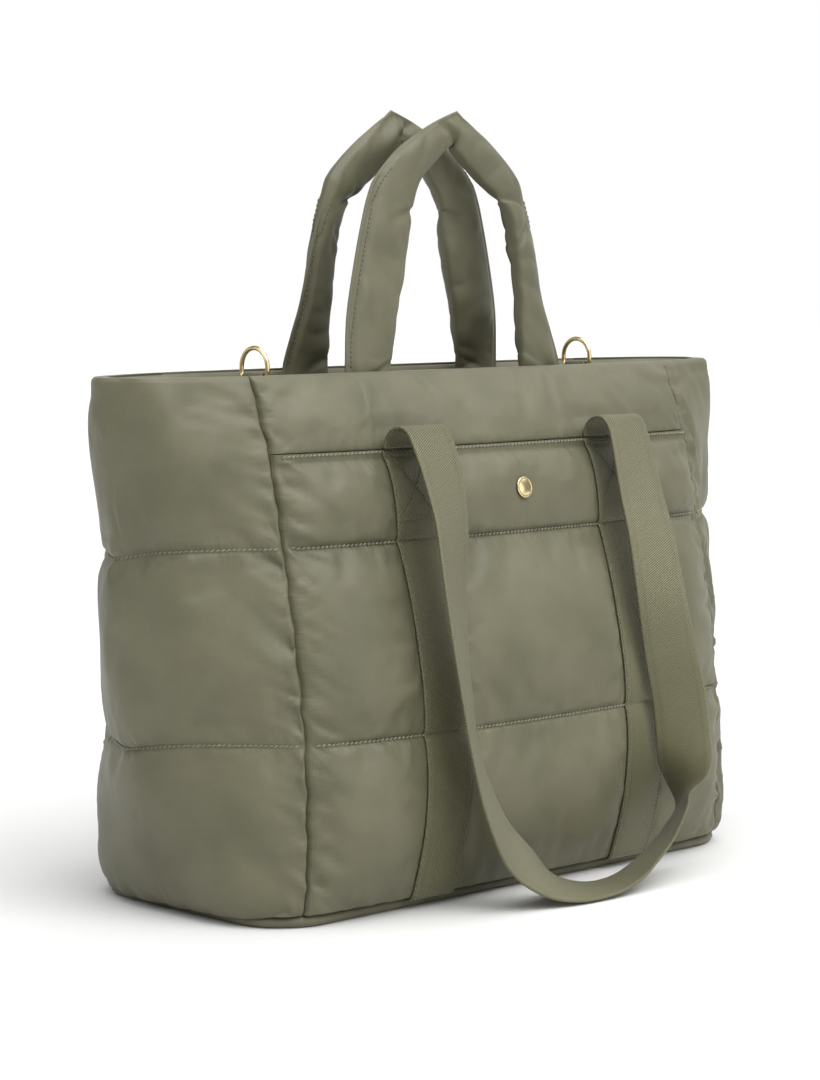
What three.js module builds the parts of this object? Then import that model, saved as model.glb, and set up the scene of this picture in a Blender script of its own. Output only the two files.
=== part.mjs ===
import * as THREE from 'three';

// Quilted overnight bag standing on its base. Millimetres, +Z up, the pocket side faces -Y.
// The origin is the middle of the base's underside.

// Body
const rimHeight = 345;
const seamX = 197;
const seamGap = 0.3;
const baseThickness = 8;
const baseEdge = 4;
const baseInset = 2;
const baseCorner = 42;
const baseSplit = 60;
const quiltLow = 116;
const quiltHigh = 238;
const pocketTop = 297;
const seamThickness = 4;
const wallThickness = 8;
const frontPuff = 8;
const bandPuff = 7;
const endPuff = 7;

// Pocket
const pocketSeam = 3;
const pocketWall = 5;
const pocketRoom = 3;
const layerGap = 0.8;

// Top facing and the mouth in it
const facingTop = 337;
const facingThickness = 3;
const facingMargin = 1.2;
const mouthLength = 276;
const mouthWidth = 40;
const mouthCorner = 10;

// Webbing shoulder straps
const webbingWidth = 38;
const webbingThickness = 1.8;
const strapX = 94.5;
const strapSteps = 2;

// Padded handles
const handleSides = 12;
const handleSteps = 3;

// Brass hardware and the tabs that hold it
const ringX = 154;
const ringBarZ = 342;
const ringWire = 3.2;
const ringInnerWidth = 22;
const ringRise = 19;
const ringSides = 8;
const tabWidth = 19;
const tabThickness = 1.3;
const tabClearance = 0.35;
const tabLength = 20;
const snapHeight = 267;
const snapRadius = 7.2;
const snapThickness = 2.4;

// Plan of the shell at each level: half depth at the seams, how far the front or back bellies beyond them,
// the arm and spread points that draw each end from seam to tip, and the tip.
const levels = [
  { z: 8, seamY: 96, belly: 6, armX: 224, armY: 96, spread: 64, tipX: 226 },
  { z: 60, seamY: 97.5, belly: 19, armX: 217, armY: 90, spread: 46, tipX: 240 },
  { z: 116, seamY: 95.5, belly: 24, armX: 214, armY: 81, spread: 32, tipX: 256 },
  { z: 180, seamY: 87, belly: 21, armX: 217, armY: 71, spread: 30, tipX: 261 },
  { z: 238, seamY: 76, belly: 17, armX: 221, armY: 62, spread: 29, tipX: 266 },
  { z: 297, seamY: 63, belly: 15, armX: 228, armY: 49, spread: 27, tipX: 271 },
  { z: 345, seamY: 45, belly: 1.5, armX: 235, armY: 35, spread: 25, tipX: 276 },
];

// Centre line of the front handle from its left foot to its right foot, with its width across the arch and
// its thickness from front to back.
const handleBends = [
  { x: -82.5, y: -30.5, z: 337.4, width: 38, depth: 11 },
  { x: -82.5, y: -30.5, z: 347, width: 39, depth: 13 },
  { x: -77, y: -26.5, z: 369, width: 40, depth: 18 },
  { x: -70, y: -23, z: 391, width: 41, depth: 19 },
  { x: -56, y: -18, z: 431, width: 41, depth: 19 },
  { x: -45, y: -14.5, z: 457, width: 38, depth: 18 },
  { x: -27, y: -12.5, z: 476, width: 35, depth: 18 },
  { x: -5, y: -11.5, z: 490, width: 33, depth: 18 },
  { x: 13, y: -11, z: 499, width: 32, depth: 17 },
  { x: 22, y: -11, z: 498, width: 32, depth: 17 },
  { x: 40, y: -11.5, z: 486, width: 33, depth: 18 },
  { x: 62, y: -13, z: 469, width: 31, depth: 18 },
  { x: 71.5, y: -14.5, z: 454, width: 29, depth: 17 },
  { x: 77, y: -18, z: 429, width: 30, depth: 18 },
  { x: 80, y: -23.5, z: 390, width: 31, depth: 18 },
  { x: 81.5, y: -27, z: 368, width: 35, depth: 17 },
  { x: 82.5, y: -30.5, z: 347, width: 39, depth: 13 },
  { x: 82.5, y: -30.5, z: 337.4, width: 38, depth: 11 },
];

// Centre line of the free strap from the left anchor over its fold, down, round the low loop and up to the
// right anchor. The turn is the plan angle in degrees of the webbing's width, and rise tips that width up.
const strapFolds = [
  { x: -94.5, y: -82.3, z: 298.2, turn: 0, rise: 0 },
  { x: -94.5, y: -82.6, z: 304, turn: 0, rise: 0 },
  { x: -94.5, y: -86.5, z: 309.5, turn: 0, rise: 0 },
  { x: -94, y: -92.5, z: 311.3, turn: 0, rise: 0 },
  { x: -93.5, y: -98.5, z: 308.5, turn: 0, rise: 0 },
  { x: -93, y: -103, z: 301, turn: 1, rise: 0 },
  { x: -92, y: -110, z: 283, turn: 4, rise: 0 },
  { x: -93.5, y: -120, z: 253, turn: 13, rise: 0 },
  { x: -97, y: -126.5, z: 222, turn: 22, rise: 0 },
  { x: -98, y: -132, z: 182, turn: 31, rise: 0 },
  { x: -95, y: -136, z: 142, turn: 36, rise: 0 },
  { x: -91, y: -139.5, z: 106, turn: 40, rise: 0 },
  { x: -83, y: -143, z: 75, turn: 45, rise: 8 },
  { x: -68, y: -147, z: 43, turn: 52, rise: 26 },
  { x: -46, y: -150, z: 23, turn: 62, rise: 26 },
  { x: -20, y: -152, z: 9.5, turn: 78, rise: 12 },
  { x: 10, y: -153, z: 4.5, turn: 90, rise: 3 },
  { x: 36, y: -152.5, z: 6.5, turn: 90, rise: -8 },
  { x: 58, y: -151, z: 14, turn: 80, rise: -14 },
  { x: 80, y: -148.5, z: 25, turn: 66, rise: -12 },
  { x: 98, y: -146, z: 39, turn: 60, rise: -6 },
  { x: 108, y: -144, z: 51, turn: 72, rise: -2 },
  { x: 113, y: -141.5, z: 65, turn: 112, rise: 0 },
  { x: 114, y: -139, z: 84, turn: 138, rise: 0 },
  { x: 112, y: -136, z: 117, turn: 146, rise: 0 },
  { x: 106, y: -132.5, z: 152, turn: 153, rise: 0 },
  { x: 101, y: -128.5, z: 190, turn: 160, rise: 0 },
  { x: 99.5, y: -121, z: 228, turn: 166, rise: 0 },
  { x: 98, y: -112.5, z: 258, turn: 172, rise: 0 },
  { x: 96, y: -106.5, z: 285, turn: 177, rise: 0 },
  { x: 95, y: -102.5, z: 301, turn: 180, rise: 0 },
  { x: 94.5, y: -98.5, z: 308.5, turn: 180, rise: 0 },
  { x: 94.5, y: -92.5, z: 311.3, turn: 180, rise: 0 },
  { x: 94.5, y: -86.5, z: 309.5, turn: 180, rise: 0 },
  { x: 94.5, y: -82.6, z: 304, turn: 180, rise: 0 },
  { x: 94.5, y: -82.3, z: 298.2, turn: 180, rise: 0 },
];

// One column of a table read at a height, by a cubic through the rows.
function readLevel(column, z) {
  let row = 0;
  while (row < levels.length - 2 && z > levels[row + 1].z) row += 1;
  const low = levels[row];
  const high = levels[row + 1];
  const before = levels[Math.max(row - 1, 0)];
  const after = levels[Math.min(row + 2, levels.length - 1)];
  const span = high.z - low.z;
  const slopeLow = (high[column] - before[column]) / (high.z - before.z);
  const slopeHigh = (after[column] - low[column]) / (after.z - low.z);
  const s = (z - low.z) / span;
  const s2 = s * s;
  const s3 = s2 * s;
  return low[column] * (2 * s3 - 3 * s2 + 1) + slopeLow * span * (s3 - 2 * s2 + s)
    + high[column] * (3 * s2 - 2 * s3) + slopeHigh * span * (s3 - s2);
}

// Every column of a bend table along its length, each row followed by steps - 1 in-between rows.
function readBends(bends, steps) {
  const columns = Object.keys(bends[0]);
  const rows = [];
  for (let i = 0; i < bends.length - 1; i += 1) {
    const last = i === bends.length - 2;
    for (let k = 0; k < steps + (last ? 1 : 0); k += 1) {
      const s = k / steps;
      const row = {};
      for (const column of columns) {
        const a = bends[Math.max(i - 1, 0)][column];
        const b = bends[i][column];
        const c = bends[i + 1][column];
        const d = bends[Math.min(i + 2, bends.length - 1)][column];
        row[column] = b + 0.5 * s * (c - a + s * (2 * a - 5 * b + 4 * c - d + s * (3 * (b - c) + d - a)));
      }
      rows.push(row);
    }
  }
  return rows;
}

// Positions from start to end, closer together near both ends.
function eased(start, end, count) {
  const list = [];
  for (let k = 0; k <= count; k += 1) {
    list.push(start + (end - start) * (0.5 - 0.5 * Math.cos((Math.PI * k) / count)));
  }
  return list;
}

function joined(...lists) {
  return lists.flatMap((list, i) => (i ? list.slice(1) : list));
}

// Height of a pillow between two stitch lines, steep beside them and flat in the middle.
function pillow(at, start, end, power) {
  const s = THREE.MathUtils.clamp((at - start) / (end - start), 0, 1);
  return Math.pow(Math.max(4 * s * (1 - s), 0), power);
}

function quiltPillow(z, lines) {
  for (let i = 0; i < lines.length - 1; i += 1) {
    if (z <= lines[i + 1]) return pillow(z, lines[i], lines[i + 1], 0.55);
  }
  return 0;
}

// A mesh from corner points and triangles, turned so that its faces point outwards.
function solidGeometry(points, triangles) {
  let volume = 0;
  for (const [a, b, c] of triangles) {
    volume += points[a].dot(new THREE.Vector3().crossVectors(points[b], points[c]));
  }
  const index = triangles.flatMap(([a, b, c]) => (volume < 0 ? [a, c, b] : [a, b, c]));
  const geometry = new THREE.BufferGeometry();
  const coordinates = points.flatMap((p) => p.toArray());
  geometry.setAttribute('position', new THREE.Float32BufferAttribute(coordinates, 3));
  geometry.setIndex(index);
  geometry.computeVertexNormals();
  return geometry;
}

// A wall between two faces that share one grid, closed round its four edges.
function wallGeometry(us, vs, outerAt, innerAt) {
  const points = [];
  for (const face of [outerAt, innerAt]) {
    for (const v of vs) {
      for (const u of us) points.push(face(u, v));
    }
  }
  const wide = us.length;
  const inner = wide * vs.length;
  const triangles = [];
  for (let j = 0; j < vs.length - 1; j += 1) {
    for (let i = 0; i < wide - 1; i += 1) {
      const a = j * wide + i;
      const b = a + 1;
      const c = a + wide + 1;
      const d = a + wide;
      triangles.push([a, b, c], [a, c, d]);
      triangles.push([inner + a, inner + c, inner + b], [inner + a, inner + d, inner + c]);
    }
  }
  const border = [];
  for (let i = 0; i < wide - 1; i += 1) border.push(i);
  for (let j = 0; j < vs.length - 1; j += 1) border.push(j * wide + wide - 1);
  for (let i = wide - 1; i > 0; i -= 1) border.push((vs.length - 1) * wide + i);
  for (let j = vs.length - 1; j > 0; j -= 1) border.push(j * wide);
  border.forEach((a, k) => {
    const b = border[(k + 1) % border.length];
    triangles.push([a, inner + a, inner + b], [a, inner + b, b]);
  });
  return solidGeometry(points, triangles);
}

// A body skinned over a row of closed rings, capped at both ends unless the rings run in a loop.
function ringGeometry(rings, loop) {
  const sides = rings[0].length;
  const points = rings.flat();
  const triangles = [];
  const last = loop ? rings.length : rings.length - 1;
  for (let j = 0; j < last; j += 1) {
    const next = (j + 1) % rings.length;
    for (let i = 0; i < sides; i += 1) {
      const k = (i + 1) % sides;
      const a = j * sides + i;
      const b = j * sides + k;
      const c = next * sides + k;
      const d = next * sides + i;
      triangles.push([a, b, c], [a, c, d]);
    }
  }
  if (!loop) {
    const end = (rings.length - 1) * sides;
    let low = 0;
    let high = sides - 1;
    while (high - low > 1) {
      triangles.push([low, high, low + 1], [end + low, end + low + 1, end + high]);
      low += 1;
      if (high - low > 1) {
        triangles.push([low, high, high - 1], [end + low, end + high - 1, end + high]);
      }
      high -= 1;
    }
  }
  return solidGeometry(points, triangles);
}

// Front and back walls

const foot = baseThickness + seamGap;
const pocketLines = [foot, quiltLow, quiltHigh, pocketTop];
const backLines = [foot, quiltLow, quiltHigh, pocketTop, rimHeight];
const endLines = [foot, quiltLow, quiltHigh, rimHeight];
const panelEdge = seamX - seamGap / 2;
const strapIn = strapX - webbingWidth / 2;
const strapOut = strapX + webbingWidth / 2;
const acrossHalf = [0, 38, strapIn, strapOut, 145, 174, 189, panelEdge];
const across = [...acrossHalf.slice(1).reverse().map((x) => -x), ...acrossHalf];

function bow(x) {
  return Math.pow(Math.max(1 - (x / panelEdge) ** 2, 0), 0.6);
}

function panelPuff(x) {
  return Math.pow(Math.max(1 - (x / panelEdge) ** 4, 0), 0.5);
}

// How far the pocket's face and the back wall stand from the middle plane.
function faceDepth(x, z, lines) {
  const plain = readLevel('seamY', z) + readLevel('belly', z) * bow(x);
  return plain + frontPuff * quiltPillow(z, lines) * panelPuff(x);
}

function pocketInnerDepth(x, z) {
  const plain = readLevel('seamY', z) + readLevel('belly', z) * bow(x);
  return plain - pocketSeam - (pocketWall - pocketSeam) * panelPuff(x);
}

// The front wall lies behind the pocket, then swells into the band above it.
function frontDepth(x, z) {
  const behind = pocketInnerDepth(x, Math.min(z, pocketTop)) - layerGap - pocketRoom * panelPuff(x);
  const above = readLevel('seamY', z) + readLevel('belly', z) * bow(x)
    + bandPuff * pillow(z, pocketTop - 6, rimHeight, 0.55) * panelPuff(x);
  const s = THREE.MathUtils.smoothstep(z, pocketTop, pocketTop + 10);
  if (z <= pocketTop) return behind;
  const held = readLevel('seamY', z) - readLevel('seamY', pocketTop);
  return (behind + held) * (1 - s) + above * s;
}

function frontPanel() {
  const vs = joined(
    eased(foot, quiltLow, 3),
    eased(quiltLow, quiltHigh, 3),
    eased(quiltHigh, pocketTop, 2),
    eased(pocketTop, rimHeight, 6),
  );
  const thickness = (x) => seamThickness + (wallThickness - 2 - seamThickness) * panelPuff(x);
  return wallGeometry(
    across,
    vs,
    (x, z) => new THREE.Vector3(x, -frontDepth(x, z), z),
    (x, z) => new THREE.Vector3(x, -frontDepth(x, z) + thickness(x), z),
  );
}

const pocketHeights = joined(
  eased(foot, quiltLow, 6),
  eased(quiltLow, quiltHigh, 6),
  eased(quiltHigh, pocketTop, 5),
);

function frontPocket() {
  return wallGeometry(
    across,
    pocketHeights,
    (x, z) => new THREE.Vector3(x, -faceDepth(x, z, pocketLines), z),
    (x, z) => new THREE.Vector3(x, -pocketInnerDepth(x, z), z),
  );
}

const backHeights = joined(
  eased(foot, quiltLow, 6),
  eased(quiltLow, quiltHigh, 6),
  eased(quiltHigh, pocketTop, 5),
  eased(pocketTop, rimHeight, 5),
);

const endHeights = joined(
  eased(foot, quiltLow, 6),
  eased(quiltLow, quiltHigh, 6),
  eased(quiltHigh, rimHeight, 6),
);

function backPanel() {
  const inner = (x, z) => readLevel('seamY', z) + readLevel('belly', z) * bow(x) - seamThickness;
  return wallGeometry(
    across,
    backHeights,
    (x, z) => new THREE.Vector3(x, faceDepth(x, z, backLines), z),
    (x, z) => new THREE.Vector3(x, inner(x, z), z),
  );
}

// Ends: a cubic from the front seam to the tip and its mirror image to the back seam.
function endPlan(t, z, inset) {
  const side = t < 0.5 ? -1 : 1;
  const s = t < 0.5 ? 2 * t : 2 - 2 * t;
  const r = 1 - s;
  const edge = seamX + seamGap / 2;
  const seamY = readLevel('seamY', z) - (inset ? seamThickness : 0);
  const tip = readLevel('tipX', z) - inset;
  const arm = readLevel('armX', z) - inset * 0.35;
  const armY = readLevel('armY', z) - inset * 0.9;
  const spread = readLevel('spread', z) - inset * 0.4;
  const x = edge * r ** 3 + 3 * arm * r * r * s + 3 * tip * r * s * s + tip * s ** 3;
  const y = seamY * r ** 3 + 3 * armY * r * r * s + 3 * spread * r * s * s;
  return new THREE.Vector2(x, side * y);
}

function endOuter(t, z) {
  const step = 0.004;
  const here = endPlan(t, z, 0);
  const along = endPlan(Math.min(t + step, 1), z, 0).sub(endPlan(Math.max(t - step, 0), z, 0)).normalize();
  const puff = endPuff * quiltPillow(z, endLines) * Math.pow(4 * t * (1 - t), 0.5);
  return new THREE.Vector3(here.x + along.y * puff, here.y - along.x * puff, z);
}

function endPanel(side) {
  const vs = endHeights;
  const us = joined(eased(0, 0.5, 7), eased(0.5, 1, 7));
  const place = (p) => p.multiply(new THREE.Vector3(side, side, 1));
  return wallGeometry(
    us,
    vs,
    (t, z) => place(endOuter(t, z)),
    (t, z) => {
      const p = endPlan(t, z, wallThickness * 0.75);
      return place(new THREE.Vector3(p.x, p.y, z));
    },
  );
}

// Base: the plan of the walls' foot, flat below and rounded at its edge.
function basePlan() {
  const outline = [];
  const centreX = readLevel('tipX', baseThickness) - baseInset - baseCorner;
  const centreY = readLevel('seamY', baseThickness) + baseInset - baseCorner;
  const corners = [[1, 1, 0], [-1, 1, 90], [-1, -1, 180], [1, -1, 270]];
  for (const [sideX, sideY, start] of corners) {
    if (sideX > 0 && sideY < 0) outline.push(new THREE.Vector2(baseSplit, -centreY - baseCorner));
    for (let k = 0; k <= 6; k += 1) {
      const angle = THREE.MathUtils.degToRad(start + 15 * k);
      outline.push(new THREE.Vector2(
        sideX * centreX + baseCorner * Math.cos(angle),
        sideY * centreY + baseCorner * Math.sin(angle),
      ));
    }
    if (sideX > 0 && sideY > 0) outline.push(new THREE.Vector2(baseSplit, centreY + baseCorner));
  }
  return outline;
}

function basePanel() {
  const outline = basePlan();
  const rings = [
    { z: 0, inset: baseEdge },
    { z: 1.4, inset: 1.4 },
    { z: baseThickness * 0.5, inset: 0 },
    { z: baseThickness - 1.4, inset: 0.8 },
    { z: baseThickness, inset: 2.4 },
  ].map(({ z, inset }) => outline.map((p) => new THREE.Vector3(
    p.x - inset * Math.sign(p.x),
    p.y - inset * Math.sign(p.y),
    z,
  )));
  return ringGeometry(rings, false);
}

// Facing inside the rim, cut by the mouth.
function topFacing() {
  const low = facingTop - facingThickness;
  const inset = wallThickness * 0.75 + facingMargin;
  const halfDepth = readLevel('seamY', facingTop) - seamThickness - pocketSeam - facingMargin;
  const endSteps = 12;
  const outline = [];
  for (const side of [1, -1]) {
    for (let k = 0; k <= endSteps; k += 1) {
      const p = endPlan(k / endSteps, low, inset);
      const y = Math.sign(p.y) * Math.min(Math.max(Math.abs(p.y) - facingMargin, 0), halfDepth);
      outline.push(new THREE.Vector2(side * p.x, side * y));
    }
  }
  const shape = new THREE.Shape(outline);
  const mouth = new THREE.Path();
  const endX = mouthLength / 2 - mouthCorner;
  const endY = mouthWidth / 2 - mouthCorner;
  mouth.absarc(endX, endY, mouthCorner, 0, Math.PI / 2, false);
  mouth.absarc(-endX, endY, mouthCorner, Math.PI / 2, Math.PI, false);
  mouth.absarc(-endX, -endY, mouthCorner, Math.PI, 1.5 * Math.PI, false);
  mouth.absarc(endX, -endY, mouthCorner, 1.5 * Math.PI, 2 * Math.PI, false);
  shape.holes.push(mouth);
  const geometry = new THREE.ExtrudeGeometry(shape, {
    depth: facingThickness,
    bevelEnabled: false,
    curveSegments: 4,
  });
  return geometry.translate(0, 0, low);
}

// Handles: flattened padded tubes whose width lies in the plane of the arch.
function handle() {
  const rows = readBends(handleBends, handleSteps);
  const centres = rows.map((row) => new THREE.Vector3(row.x, row.y, row.z));
  const rings = rows.map((row, i) => {
    const along = centres[Math.min(i + 1, rows.length - 1)].clone()
      .sub(centres[Math.max(i - 1, 0)]);
    if (i === 0) along.set(0, 0, 1);
    if (i === rows.length - 1) along.set(0, 0, -1);
    along.normalize();
    const wide = new THREE.Vector3(0, 1, 0).cross(along).normalize();
    const deep = along.clone().cross(wide).normalize();
    const ring = [];
    for (let k = 0; k < handleSides; k += 1) {
      const angle = (2 * Math.PI * k) / handleSides;
      ring.push(centres[i].clone()
        .addScaledVector(wide, 0.5 * row.width * Math.cos(angle))
        .addScaledVector(deep, 0.5 * row.depth * Math.sin(angle)));
    }
    return ring;
  });
  return ringGeometry(rings, false);
}

// Webbing sewn up a panel, laid on the panel's own grid lines.
function strapAnchor(side, depthAt, heights, lines, facing) {
  const us = side < 0 ? [-strapOut, -strapIn] : [strapIn, strapOut];
  const vs = heights.filter((z) => z <= pocketTop);
  const lift = (x, z, extra) => facing * (depthAt(x, z, lines) + 0.35 + extra);
  return wallGeometry(
    us,
    vs,
    (x, z) => new THREE.Vector3(x, lift(x, z, webbingThickness), z),
    (x, z) => new THREE.Vector3(x, lift(x, z, 0), z),
  );
}

// The free strap: a flat band whose width turns along its path.
function strapLoop() {
  const rows = readBends(strapFolds, strapSteps);
  const centres = rows.map((row) => new THREE.Vector3(row.x, row.y, row.z));
  const rings = rows.map((row, i) => {
    const along = centres[Math.min(i + 1, rows.length - 1)].clone()
      .sub(centres[Math.max(i - 1, 0)])
      .normalize();
    const turn = THREE.MathUtils.degToRad(row.turn);
    const rise = THREE.MathUtils.degToRad(row.rise);
    const width = new THREE.Vector3(
      Math.cos(rise) * Math.cos(turn),
      Math.cos(rise) * Math.sin(turn),
      Math.sin(rise),
    );
    width.addScaledVector(along, -width.dot(along)).normalize();
    const normal = along.clone().cross(width).normalize();
    const corner = (w, n) => centres[i].clone()
      .addScaledVector(width, 0.5 * webbingWidth * w)
      .addScaledVector(normal, 0.5 * webbingThickness * n);
    return [corner(1, 1), corner(-1, 1), corner(-1, -1), corner(1, -1)];
  });
  return ringGeometry(rings, false);
}

// D-ring: a straight bar along Y closed by an upright bow.
function dRing() {
  const halfBar = ringInnerWidth / 2 + ringWire / 2;
  const corner = 3;
  const path = [];
  for (let k = -2; k <= 2; k += 1) path.push([(halfBar - corner) * (k / 2), 0]);
  path.push([halfBar - 0.9, 0.9], [halfBar, corner]);
  const bowZ = ringRise - halfBar;
  for (let k = 0; k <= 12; k += 1) {
    const angle = (Math.PI * k) / 12;
    path.push([halfBar * Math.cos(angle), bowZ + halfBar * Math.sin(angle)]);
  }
  path.push([-halfBar, corner], [-halfBar + 0.9, 0.9]);
  const rings = path.map(([y, z], i) => {
    const [y0, z0] = path[(i + path.length - 1) % path.length];
    const [y1, z1] = path[(i + 1) % path.length];
    const out = new THREE.Vector3(0, z1 - z0, y0 - y1).normalize();
    const ring = [];
    for (let k = 0; k < ringSides; k += 1) {
      const angle = (2 * Math.PI * (k + 0.5)) / ringSides;
      ring.push(new THREE.Vector3(0, y, z)
        .addScaledVector(out, 0.5 * ringWire * Math.cos(angle))
        .add(new THREE.Vector3(0.5 * ringWire * Math.sin(angle), 0, 0)));
    }
    return ring;
  });
  return ringGeometry(rings, true).translate(0, 0, ringBarZ);
}

// Tab: a cloth loop round the ring's bar with its tail sewn flat to the facing.
function ringTab() {
  const innerRadius = ringWire / 2 + tabClearance;
  const outerRadius = innerRadius + tabThickness;
  const tailLow = facingTop + seamGap - ringBarZ;
  const tailHigh = tailLow + 2 * tabThickness;
  const outline = [];
  for (let k = 0; k <= 8; k += 1) {
    const angle = THREE.MathUtils.degToRad(20 + 29 * k);
    outline.push(new THREE.Vector2(outerRadius * Math.cos(angle), outerRadius * Math.sin(angle)));
  }
  outline.push(new THREE.Vector2(1.2, tailLow));
  outline.push(new THREE.Vector2(tabLength, tailLow));
  outline.push(new THREE.Vector2(tabLength, tailHigh));
  outline.push(new THREE.Vector2(outerRadius + 1.6, tailHigh));
  const shape = new THREE.Shape(outline);
  const eye = new THREE.Path();
  eye.absarc(0, 0, innerRadius, 0, 2 * Math.PI, true);
  shape.holes.push(eye);
  const geometry = new THREE.ExtrudeGeometry(shape, {
    depth: tabWidth,
    bevelEnabled: false,
    curveSegments: 12,
  });
  geometry.rotateX(Math.PI / 2);
  return geometry.translate(0, tabWidth / 2, ringBarZ);
}

// Snap: a low domed cap on the pocket.
function pocketSnap() {
  const rings = [
    { out: 0, radius: snapRadius - 0.5 },
    { out: 0.5, radius: snapRadius },
    { out: snapThickness - 0.8, radius: snapRadius },
    { out: snapThickness - 0.2, radius: snapRadius - 0.8 },
    { out: snapThickness, radius: snapRadius - 2 },
  ];
  const high = faceDepth(0, snapHeight + snapRadius, pocketLines);
  const low = faceDepth(0, snapHeight - snapRadius, pocketLines);
  const lean = (high - low) / (2 * snapRadius);
  const seat = Math.max(faceDepth(0, snapHeight, pocketLines), (high + low) / 2) + 2 * seamGap;
  return ringGeometry(rings.map(({ out, radius }) => {
    const ring = [];
    for (let k = 0; k < 24; k += 1) {
      const angle = (2 * Math.PI * k) / 24;
      const up = radius * Math.sin(angle);
      ring.push(new THREE.Vector3(radius * Math.cos(angle), -seat - lean * up - out, snapHeight + up));
    }
    return ring;
  }), false);
}

// Assembly

const bag = new THREE.Group();
bag.name = 'overnight_bag';

function add(name, geometry, look) {
  const mesh = new THREE.Mesh(geometry, new THREE.MeshStandardMaterial(look));
  mesh.name = name;
  mesh.material.name = name;
  bag.add(mesh);
}

const turned = (geometry) => geometry.rotateZ(Math.PI);
const nylon = { color: '#7f7f69', roughness: 0.55, metalness: 0 };
const webbing = { color: '#82836b', roughness: 0.7, metalness: 0 };
const brass = { color: '#d8b878', roughness: 0.25, metalness: 1 };

add('front_panel', frontPanel(), nylon);
add('front_pocket', frontPocket(), nylon);
add('back_panel', backPanel(), nylon);
add('end_panel_left', endPanel(-1), nylon);
add('end_panel_right', endPanel(1), nylon);
add('base_panel', basePanel(), nylon);
add('top_facing', topFacing(), nylon);
add('handle_front', handle(), nylon);
add('handle_back', turned(handle()), nylon);
add('strap_anchor_front_left', strapAnchor(-1, faceDepth, pocketHeights, pocketLines, -1), webbing);
add('strap_anchor_front_right', strapAnchor(1, faceDepth, pocketHeights, pocketLines, -1), webbing);
add('strap_anchor_back_left', strapAnchor(-1, faceDepth, backHeights, backLines, 1), webbing);
add('strap_anchor_back_right', strapAnchor(1, faceDepth, backHeights, backLines, 1), webbing);
add('strap_front', strapLoop(), webbing);
add('strap_back', turned(strapLoop()), webbing);
add('dring_tab_left', turned(ringTab().translate(ringX, 0, 0)), nylon);
add('dring_tab_right', ringTab().translate(ringX, 0, 0), nylon);
add('dring_left', dRing().translate(-ringX, 0, 0), brass);
add('dring_right', dRing().translate(ringX, 0, 0), brass);
add('pocket_snap', pocketSnap(), brass);

export default bag;
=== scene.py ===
# Quilted overnight bag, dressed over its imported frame. Shapes are worked out in millimetres in the frame's
# own axes (+Z up, the pocket side faces -Y) and put into the meshes in metres.
import math

import bpy
import numpy as np
from mathutils import Matrix, Vector


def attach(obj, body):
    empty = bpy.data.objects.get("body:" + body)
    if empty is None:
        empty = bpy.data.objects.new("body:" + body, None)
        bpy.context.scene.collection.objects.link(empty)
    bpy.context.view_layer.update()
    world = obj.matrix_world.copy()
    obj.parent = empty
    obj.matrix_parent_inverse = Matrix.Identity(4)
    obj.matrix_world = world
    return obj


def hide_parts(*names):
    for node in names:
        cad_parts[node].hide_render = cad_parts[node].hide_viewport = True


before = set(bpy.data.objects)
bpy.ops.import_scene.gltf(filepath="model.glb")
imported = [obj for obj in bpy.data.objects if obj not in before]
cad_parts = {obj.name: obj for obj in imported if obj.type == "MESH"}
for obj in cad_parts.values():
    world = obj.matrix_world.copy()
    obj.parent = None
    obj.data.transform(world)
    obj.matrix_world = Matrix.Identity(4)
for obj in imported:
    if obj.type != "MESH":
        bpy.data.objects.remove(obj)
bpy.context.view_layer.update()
scene = bpy.context.scene
print("frame loaded:", len(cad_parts), "nodes")


# camera, at the angle the bag was photographed from
cameraView = {"lens": 100.47, "sensor": 36, "place": (-1.4473, -1.4717, 0.4215), "yaw": 45.74, "dip": 5.42,
              "far": 50}


def placeCamera(view):
    # looks along the yaw angle in plan, dipped below the horizon, and stays level from side to side
    yaw, dip = math.radians(view["yaw"]), math.radians(view["dip"])
    ahead = Vector((math.cos(yaw) * math.cos(dip), math.sin(yaw) * math.cos(dip), -math.sin(dip)))
    data = bpy.data.cameras.new("studioCamera")
    data.lens = view["lens"]
    data.sensor_width = view["sensor"]
    data.clip_end = view["far"]
    camera = bpy.data.objects.new("studioCamera", data)
    aim = ahead.to_track_quat("-Z", "Y").to_matrix().to_4x4()
    camera.matrix_world = Matrix.Translation(view["place"]) @ aim
    scene.collection.objects.link(camera)
    scene.camera = camera


placeCamera(cameraView)


# materials, with the sizes of their patterns in millimetres

def toLinear(code):
    # sRGB hex to linear RGBA
    part = np.array([int(code[k:k + 2], 16) for k in (1, 3, 5)]) / 255
    linear = np.where(part <= 0.04045, part / 12.92, ((part + 0.055) / 1.055) ** 2.4)
    return (*linear.tolist(), 1.0)


def plug(tree, node, sockets):
    # a link where the value is an output, or a node that gives its first output, and else the value itself
    for socket, value in sockets.items():
        if isinstance(value, bpy.types.Node):
            value = value.outputs[0]
        if isinstance(value, bpy.types.NodeSocket):
            tree.links.new(value, node.inputs[socket])
        else:
            node.inputs[socket].default_value = value


def addNode(tree, kind, sockets=None, ramp=(), **settings):
    # one shader node with its settings, its colour stops, its fixed socket values and the links into it
    node = tree.nodes.new("ShaderNode" + kind)
    for key, value in settings.items():
        setattr(node, key, value)
    for k, (place, code) in enumerate(ramp):
        node.color_ramp.elements[k].position = place
        node.color_ramp.elements[k].color = toLinear(code)
    plug(tree, node, sockets or {})
    return node


def newMaterial(name, viewColour):
    # a material with its nodes and its shader
    material = bpy.data.materials.new(name)
    material.use_nodes = True
    material.diffuse_color = toLinear(viewColour)
    tree = material.node_tree
    return material, tree, tree.nodes["Principled BSDF"]


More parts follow.
